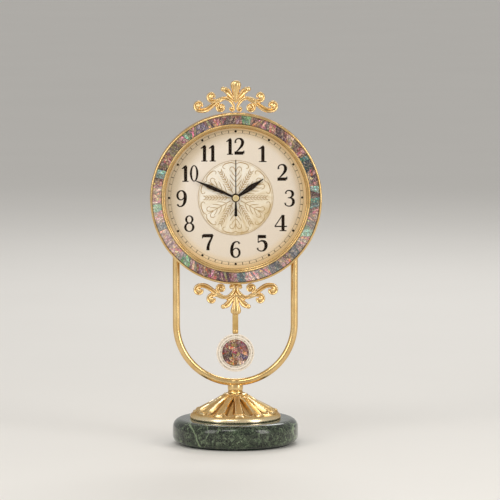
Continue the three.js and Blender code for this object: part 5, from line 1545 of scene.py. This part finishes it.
def leaf_hand(name, node, body, degrees, rows):
    """A leaf on its boss, turned clockwise from twelve to where the solid stands."""
    back, front = depths(node)
    thickness = front - back
    hand = flat_hand(rows, thickness, LEAF_RIDGE)
    added(hand, turned([(BOSS_HOLE, 0), (BOSS_RADIUS, 0), (BOSS_RADIUS, thickness - BOSS_EDGE),
                        (BOSS_RADIUS - BOSS_EDGE, thickness), (BOSS_HOLE, thickness)], 64))
    turn = Matrix.Rotation(-math.radians(degrees), 4, "Z")
    piece(name, hand, HEAD @ Matrix.Translation((0, 0, back)) @ turn, body, black_enamel,
          [node], sharp=12)


leaf_hand("hour_leaf", "hour_hand", "hour", HOUR_TURN,
          leaf_rows(length=39.2, width=6.5, neck=3.4, tip=1.5, widest=0.55))
leaf_hand("minute_leaf", "minute_hand", "minute", MINUTE_TURN,
          leaf_rows(length=52.4, width=4.7, neck=2.7, tip=1.2, widest=0.56))

# %% [markdown]
# ## Second hand, cap and glass
# The second hand is a needle with a tail that balances it. It is made as the leaves are, in two
# parts that overlap on the hub. The cap that covers the hub and the glass are plain turned pieces:
# the cap has a small hollow with a point in it, and the glass a ground edge.

# %% Second hand with its tail
NEEDLE_RIDGE = 0.1
HUB_HOLE, HUB_RADIUS = 0.9, 3.1

back, front = depths("second_hand")
needle = flat_hand([(-5, 1.4), (6, 1.3), (45, 1.0)], front - back, NEEDLE_RIDGE)
tail = smooth_rows([(-21.6, 1.8), (-21.2, 2.8), (-19.6, 3.5), (-13.0, 2.9), (-6, 1.9), (-3, 1.5)])
added(needle, flat_hand(tail, front - back, NEEDLE_RIDGE))
added(needle, turned([(HUB_HOLE, 0), (HUB_RADIUS, 0), (HUB_RADIUS, front - back),
                      (HUB_HOLE, front - back)], 48))
piece("second_needle", needle, HEAD @ Matrix.Translation((0, 0, back)), "second",
      black_enamel, ["second_hand"], sharp=12)

# %% Cap
cap_back, cap_front = depths("hub_cap")
cap_radius = outer_radius("hub_cap")
cap_height = cap_front - cap_back
cap = turned([(0, cap_back), (cap_radius - 0.1, cap_back), (cap_radius, cap_back + 0.15),
              (cap_radius, cap_back + cap_height * 0.45), (cap_radius * 0.93, cap_back + cap_height * 0.75),
              (cap_radius * 0.78, cap_back + cap_height * 0.95), (cap_radius * 0.55, cap_front),
              (cap_radius * 0.42, cap_front - 0.28), (cap_radius * 0.3, cap_front - 0.3),
              (cap_radius * 0.15, cap_front - 0.05), (0, cap_front)], 64)
piece("gold_cap", cap, HEAD, "second", pale_gold, ["hub_cap"], sharp=40)

# %% Glass
GROUND_EDGE = 0.2

glass_back, glass_front = depths("glass_lens")
glass_radius = outer_radius("glass_lens")
lens_disc = turned([(0, glass_back), (glass_radius, glass_back), (glass_radius, glass_front - GROUND_EDGE),
                    (glass_radius - GROUND_EDGE, glass_front), (0, glass_front)])
piece("front_glass", lens_disc, HEAD, STAND_BODY, clear_glass, ["glass_lens"])

# %% [markdown]
# ## Scroll castings
# The same casting stands on the head and hangs below it. It is a band with two ridges and a
# groove, which runs in arches and curls, and every curl ends in a ball. Between them stand a
# three-lobed bud, two club petals and two leaves. It could be sculpted, but curls of this kind want
# even spirals. So each band is a curve whose section is the ridged outline and whose radius changes
# along it. Bands, balls and bud are then fused with a voxel remesh, as molten metal would fuse
# them, and smoothed a little.

# %% Ridged section of the bands
# Across the band and up from its back, with a half width of 1
RIDGED_SECTION = (
    (1.0, 0.0), (0.94, 0.5), (0.66, 0.9), (0.34, 0.72), (0.0, 0.42), (-0.34, 0.72), (-0.66, 0.9),
    (-0.94, 0.5), (-1.0, 0.0), (-0.86, -0.55), (-0.4, -0.85), (0.4, -0.85), (0.86, -0.55),
)


def section_curve(points):
    data = bpy.data.curves.new("section", "CURVE")
    data.dimensions = "2D"
    spline = data.splines.new("POLY")
    spline.points.add(len(points) - 1)
    spline.use_cyclic_u = True
    for knot, (x, y) in zip(spline.points, points):
        knot.co = (x, y, 0, 1)
    thing = bpy.data.objects.new("section", data)
    scene.collection.objects.link(thing)
    return thing


def bands(strokes, section):
    """Bands that follow points of (x, y, half width)."""
    data = bpy.data.curves.new("bands", "CURVE")
    data.dimensions = "3D"
    data.bevel_mode = "OBJECT"
    data.bevel_object = section
    data.resolution_u = 8
    data.use_fill_caps = True
    data.twist_mode = "Z_UP"
    for points in strokes:
        spline = data.splines.new("BEZIER")
        spline.bezier_points.add(len(points) - 1)
        for knot, (x, y, half) in zip(spline.bezier_points, points):
            knot.co = (x, y, 0)
            knot.radius = half
            knot.handle_left_type = knot.handle_right_type = "AUTO"
    thing = bpy.data.objects.new("bands", data)
    scene.collection.objects.link(thing)
    bpy.context.view_layer.update()
    return settled(thing)


print("The section has", len(RIDGED_SECTION), "corners")

# %% The pattern's right half
def curl(middle, start, end, first_radius, last_radius, first_half, last_half, steps):
    """Points that wind in towards the middle, between two angles in degrees."""
    points = []
    for step in range(steps + 1):
        t = step / steps
        angle = math.radians(start + (end - start) * t)
        radius = first_radius + (last_radius - first_radius) * t
        points.append((middle[0] + radius * math.cos(angle), middle[1] + radius * math.sin(angle),
                       first_half + (last_half - first_half) * t))
    return points


# Bands as (x, y, half width), with y up from the bezel's edge
ARCH = [(25, 12.4, 1.3), (19.5, 15, 1.7), (14.5, 16.4, 1.7), (9.5, 15.8, 1.6), (5.4, 12.4, 1.5),
        (2.7, 8.2, 1.3), *curl((4.7, 4.4), 165, 440, 2.7, 1.3, 1.1, 1.0, 9)]
UPPER_SCROLL = [(14.5, 16.2, 1.5), (20.5, 13.4, 1.9), *curl((28.1, 18.4), 252, 560, 4.9, 2.3, 1.9, 1.6, 10)]
OUTER_SCROLL = [(20, 14.4, 1.7), (25.5, 9.9, 2.1), (31, 5.6, 2.3), (36, 2.9, 2.3),
                *curl((42.7, 7.9), 262, 560, 5.3, 2.4, 2.2, 1.7, 10)]
SNAIL = [(23, 12.4, 1.6), *curl((17.3, 6), 50, -430, 4.9, 1.7, 1.6, 1.0, 16)]
LEAF = [(1.6, 13.4, 1.2), (6.5, 16.6, 1.8), (9, 18.6, 2.0), (10.6, 20, 0.9)]
PETAL = [(3, 17.2, 1.2), (6, 20.6, 2.1), (9.2, 24.2, 2.8), (12.2, 26.3, 2.6), (14.2, 27.1, 1.9)]
# Balls as (x, y, height, radius)
BALLS = ((4.9, 4.5, 0.5, 1.35), (28.5, 18.2, 0.7, 1.9), (43.1, 7.7, 0.7, 2.1), (17.3, 6, 0.6, 1.5),
         (14.9, 27.4, 0.3, 2.5))
# Half of the bud's outline, as (radius, height)
BUD = ((0, 10), (1.8, 13), (2.4, 17), (3.4, 22), (4.8, 27), (5.9, 30.6), (6.2, 32.6), (5.8, 34.5),
       (4.6, 36.0), (2.8, 36.9), (1.3, 37.1), (0, 37.15))
print("Six bands,", len(BALLS), "balls and a bud", BUD[-1][1], "mm high")

# %% One casting
BAND_SCALE, BAND_SPREAD = 1.25, 0.12
BALL_SPREAD = 0.3
BUD_FLATNESS = 0.62
# Grooves at these degrees around the bud, and the heights where they start and are full
BUD_GROOVES = (58, 122)
GROOVE_WIDTH = 9
GROOVE_DEPTH = 0.12
GROOVE_START, GROOVE_FULL = 12, 20
VOXEL = 0.28

bezel_clear = bezel_radius + FIT_GAP


def flat_bud():
    """A turned bud, pressed flat, with two grooves that part it into three lobes."""
    bud = turned(BUD, 96)
    for vert in bud.verts:
        around = math.degrees(math.atan2(vert.co.y, vert.co.x)) % 180
        groove = sum(math.exp(-((around - middle) / GROOVE_WIDTH) ** 2) for middle in BUD_GROOVES)
        share = ease((vert.co.z - GROOVE_START) / (GROOVE_FULL - GROOVE_START))
        shrink = 1 - GROOVE_DEPTH * groove * share
        vert.co.x *= shrink
        vert.co.y *= shrink * BUD_FLATNESS
    return bud


def scroll_casting():
    """The right half, its mirror image and the bud, fused and kept clear of the bezel."""
    section = section_curve(RIDGED_SECTION)
    strokes = [[(x, y + bezel_radius, half * BAND_SCALE + BAND_SPREAD) for x, y, half in points]
               for points in (ARCH, UPPER_SCROLL, OUTER_SCROLL, SNAIL, LEAF, PETAL)]
    half_pattern = bands(strokes, section)
    bpy.data.objects.remove(section)
    for x, y, height, radius in BALLS:
        bmesh.ops.create_icosphere(half_pattern, subdivisions=3, radius=radius + BALL_SPREAD,
                                   matrix=Matrix.Translation((x, y + bezel_radius, height)))
    other = half_pattern.copy()
    bmesh.ops.scale(other, verts=other.verts, vec=(-1, 1, 1))
    bmesh.ops.reverse_faces(other, faces=other.faces)
    casting = added(half_pattern, other)
    upright = Matrix.Translation((0, bezel_radius, 0)) @ Matrix.Rotation(math.radians(-90), 4, "X")
    added(casting, flat_bud(), upright)
    bmesh.ops.recalc_face_normals(casting, faces=casting.faces)

    fused = to_object("fused", casting)
    remesh = fused.modifiers.new("fuse", "REMESH")
    remesh.mode = "VOXEL"
    remesh.voxel_size = VOXEL
    smooth = fused.modifiers.new("polish", "SMOOTH")
    smooth.factor = 0.5
    smooth.iterations = 2
    bpy.context.view_layer.update()
    casting = settled(fused)
    for vert in casting.verts:
        reach = vert.co.xy.length
        if reach < bezel_clear:
            vert.co.xy = vert.co.xy * (bezel_clear / reach)
    return casting


print("Bands, balls and bud are fused in steps of", VOXEL, "mm")

# %% Crown and lower casting
casting = scroll_casting()
crown_top = corners("crown_ornament")[1].z
reach = max(vert.co.y for vert in casting.verts)
print("The casting reaches", round(reach + head_height, 2), "mm, its solid", round(crown_top, 2), "mm")
lower_casting = casting.copy()
scroll_plane = sum(depths("crown_ornament")) / 2
CROWN = HEAD @ Matrix.Translation((0, 0, scroll_plane))
LOWER = CROWN @ Matrix.Rotation(math.pi, 4, "Z")
piece("crown_casting", casting, CROWN, STAND_BODY, cast_gold, ["crown_ornament"], sharp=80)
piece("lower_casting", lower_casting, LOWER, STAND_BODY, cast_gold, ["lower_ornament"],
      sharp=80)

# %% [markdown]
# ## Pendulum rod
# The rod is a flat brass bar, so it is a box with its edges bevelled. It carries the bob on a
# rivet, which is turned. Both ride on the pendulum's body, as all of the bob does, so that the
# whole swings as one.

# %% Rod and rivet
ROD_ROUND = 0.55
RIVET_SHANK = 1.2
RIVET_HEAD = 0.8

rod_low, rod_high = corners("pendulum_rod")
bar = rounded(block(rod_low, rod_high), ROD_ROUND)
piece("rod_bar", bar, STAND, "pendulum", brass, ["pendulum_rod"], sharp=25)

rivet_low, rivet_high = corners("bob_rivet")
at = centre("bob_rivet")
rivet_radius = outer_radius("bob_rivet")
thick = rivet_high.y - rivet_low.y
rivet = turned([
    (0, 0), (rivet_radius * 0.6, 0.1), (rivet_radius, 0.6), (rivet_radius, RIVET_HEAD),
    (RIVET_SHANK, RIVET_HEAD), (RIVET_SHANK, thick - RIVET_HEAD), (rivet_radius, thick - RIVET_HEAD),
    (rivet_radius, thick - 0.6), (rivet_radius * 0.6, thick - 0.1), (0, thick),
], 32)
piece("rivet", rivet, facing(at.x, rivet_high.y, at.z), "pendulum", brass, ["bob_rivet"])

# %% [markdown]
# ## Bob
# The bob is a ring of silver plate around a disc of shell, with a brass plate behind. Two rows of
# small cut stones sit in grooves of the ring. A bump pattern could stand for them, but each real
# stone glints by itself, so every one is a small faceted cone with its own slight lean. The plate
# and the floors of the grooves are turned. The floors are a piece of their own: they are duller
# than the plate, and painted darker, as shade in the grooves.

# %% Bob ring
BOB_STEPS = 120
ROW_RADII = (17.35, 20.35)
ROW_HALF = 0.8
ROW_SLOPE = 0.15
ROW_DEPTH = 0.85

bob_low, bob_high = corners("bob_ring")
bob_radius = outer_radius("bob_ring")
bob_height = (bob_low.z + bob_high.z) / 2
bob_thick = bob_high.y - bob_low.y
BOB = facing(0, bob_high.y, bob_height)
inlay_edge = outer_radius("bob_inlay") + FIT_GAP
plate_front = bob_thick - 0.1
row_floor = bob_thick - ROW_DEPTH
ring_outline = [(inlay_edge, 0), (bob_radius - 0.5, 0), (bob_radius, 0.5), (bob_radius, bob_thick - 0.7),
                (bob_radius - 0.5, plate_front)]
for radius in reversed(ROW_RADII):
    ring_outline += [(radius + ROW_HALF + ROW_SLOPE, plate_front), (radius + ROW_HALF, row_floor),
                     (radius - ROW_HALF, row_floor), (radius - ROW_HALF - ROW_SLOPE, plate_front)]
ring_outline += [(inlay_edge + 0.2, plate_front), (inlay_edge, bob_thick - 0.35)]
ring = turned(ring_outline, BOB_STEPS)
piece("bob_ring_plate", ring, BOB, "pendulum", white_metal, ["bob_ring"])

# The floors carry painted shade of the grooves
floors = bmesh.new()
for radius in ROW_RADII:
    added(floors, turned([(radius - ROW_HALF, row_floor - 0.1), (radius + ROW_HALF, row_floor - 0.1),
                          (radius + ROW_HALF, row_floor + 0.04), (radius - ROW_HALF, row_floor + 0.04)],
                         BOB_STEPS))
piece("bob_row_floors", floors, BOB, "pendulum", groove_shade_silver)

# %% Cut stones in two rows
STONE_SEED = 5
STONE_SIDES = 8
STONE_TABLE = 0.55
STONE_PITCH = 1.9
STONE_RADIUS = ROW_HALF * 0.9
STONE_HEIGHT = 0.7
STONE_SINK = 0.02
STONE_LEAN = 0.12


def cut_stone(radius, height):
    """A stone with a flat table and eight facets around it."""
    stone = bmesh.new()
    bmesh.ops.create_cone(stone, cap_ends=True, segments=STONE_SIDES, radius1=radius,
                          radius2=radius * STONE_TABLE, depth=height,
                          matrix=Matrix.Translation((0, 0, height / 2)))
    return stone


chance = random.Random(STONE_SEED)
stones = bmesh.new()
for row, radius in enumerate(ROW_RADII):
    count = int(math.tau * radius / STONE_PITCH)
    for place in range(count):
        # The outer row is moved on by half a stone
        angle = math.tau * (place + 0.5 * row) / count
        at = Matrix.Rotation(angle, 4, "Z") @ Matrix.Translation((radius, 0, row_floor - STONE_SINK))
        lean = Matrix.Rotation(chance.uniform(-STONE_LEAN, STONE_LEAN), 4, "X")
        lean = lean @ Matrix.Rotation(chance.uniform(-STONE_LEAN, STONE_LEAN), 4, "Y")
        spin = Matrix.Rotation(chance.uniform(0, 1), 4, "Z")
        added(stones, cut_stone(STONE_RADIUS, STONE_HEIGHT), at @ lean @ spin)
    print("Row", row + 1, "has", count, "stones")
piece("bob_stones", stones, BOB, "pendulum", silver_stones, sharp=10)

# %% Shell disc of the bob
BOB_SEED = 23
BOB_SHARD_AREA = 16
SMALLEST_SHARD = 0.25
SHELL_SINK = 1.0
# Long first cuts across the disc, as (distance from the middle, angle)
FIRST_CUTS = ((-5.5, 0.35), (1.5, 1.2), (5.0, 2.3), (-2.5, 2.75), (7.5, 0.1))

shell_radius = outer_radius("bob_inlay")
bob_front = bob_thick - SHELL_SINK
chance = random.Random(BOB_SEED)
shell = bmesh.new()
bmesh.ops.create_circle(shell, cap_ends=True, radius=shell_radius, segments=96)
for place, angle in FIRST_CUTS:
    bmesh.ops.bisect_plane(shell, geom=[*shell.verts, *shell.edges, *shell.faces], dist=1e-4,
                           plane_co=(place * math.cos(angle), place * math.sin(angle), 0),
                           plane_no=(math.cos(angle), math.sin(angle), 0))
cut_fields(shell, chance, BOB_SHARD_AREA)
slivers = [face for face in shell.faces if face.calc_area() < SMALLEST_SHARD]
bmesh.ops.delete(shell, geom=slivers, context="FACES")
lay_shards(shell, chance, lambda radius: bob_front, 0.02, BOB_TINTS, BOB_PLACES)
piece("bob_shell", shell, BOB, "pendulum", abalone, sharp=20)

bed_radius, bed_front = shell_radius + 0.1, bob_front - 0.3
bed = turned([(0, 0), (bed_radius, 0), (bed_radius, bed_front), (0, bed_front)], 96)
piece("bob_bed", bed, BOB, "pendulum", dark_resin, ["bob_inlay"])

# %% Back of the bob
TONGUE_HALF = 2.7
TONGUE_BACK = 0.4

back_low, back_high = corners("bob_back")
plate_radius = outer_radius("bob_back")
plate_thick = back_high.y - back_low.y
plate = turned([(0, 0), (plate_radius * 0.5, 0.05), (plate_radius - 1.2, 0.3), (plate_radius, 0.8),
                (plate_radius, plate_thick), (0, plate_thick)], 96)
tongue = block((-TONGUE_HALF, 0, TONGUE_BACK), (TONGUE_HALF, back_high.z - bob_height, plate_thick))
plate = combined(plate, rounded(tongue, 0.4, 2), "UNION")
piece("bob_back_plate", plate, facing(0, back_high.y, bob_height), "pendulum", brass,
      ["bob_back"])

# %% [markdown]
# ## Finishes for the solids that stay
# The movement, its wheels, the battery and the small fixings already have their real shapes in the
# frame. Making them again would add nothing, so they only get a better finish. It is linked to the
# object and not to its mesh, so that the mesh stays as it came.

# %% Finishes of the remaining solids
KEPT = {
    dark_felt: ("felt_pad",),
    steel: ("tie_washer", "tie_bolt", "pivot_pin", "pendulum_magnet", "rotor", "stator", "battery_spring",
            "battery_contact"),
    ivory_dial: ("dial_spacer",),
    black_plastic: ("movement_front", "movement_back", "pendulum_housing"),
    white_plastic: ("train_plate", "hour_wheel", "reduction_wheel", "setting_knob", "pendulum_hanger"),
    brass: ("bushing_nut", "cannon_pinion", "minute_wheel", "setting_shaft", "seconds_wheel"),
    copper_wire: ("motor_coil", "drive_coil"),
    board_green: ("circuit_board",),
    battery_sleeve: ("battery",),
}
for finish, names in KEPT.items():
    for name in names:
        for material_slot in frame["nodes"][name].material_slots:
            material_slot.link = "OBJECT"
            material_slot.material = finish
print("Solids with a new finish:", sum(len(names) for names in KEPT.values()))

# %% [markdown]
# ## Floor
# A wide pale floor carries the clock and takes its shadow. It is so large that its edge lies far
# beyond what the lens sees, where a small plane would need a backdrop behind it. It belongs to the
# stage and not to the clock.

# %% Floor
FLOOR_RADIUS = 30

ground = bmesh.new()
bmesh.ops.create_circle(ground, cap_ends=True, radius=FLOOR_RADIUS, segments=64)
floor = to_object("floor", ground)
floor_finish = Finish("pale floor", Roughness=0.75)
floor_tone = floor_finish.mix(floor_finish.noise(3, 3), colour(232, 229, 224), colour(236, 233, 228))
floor.data.materials.append(floor_finish.use(Base_Color=floor_tone))
print("The floor is", FLOOR_RADIUS * 2, "m wide")
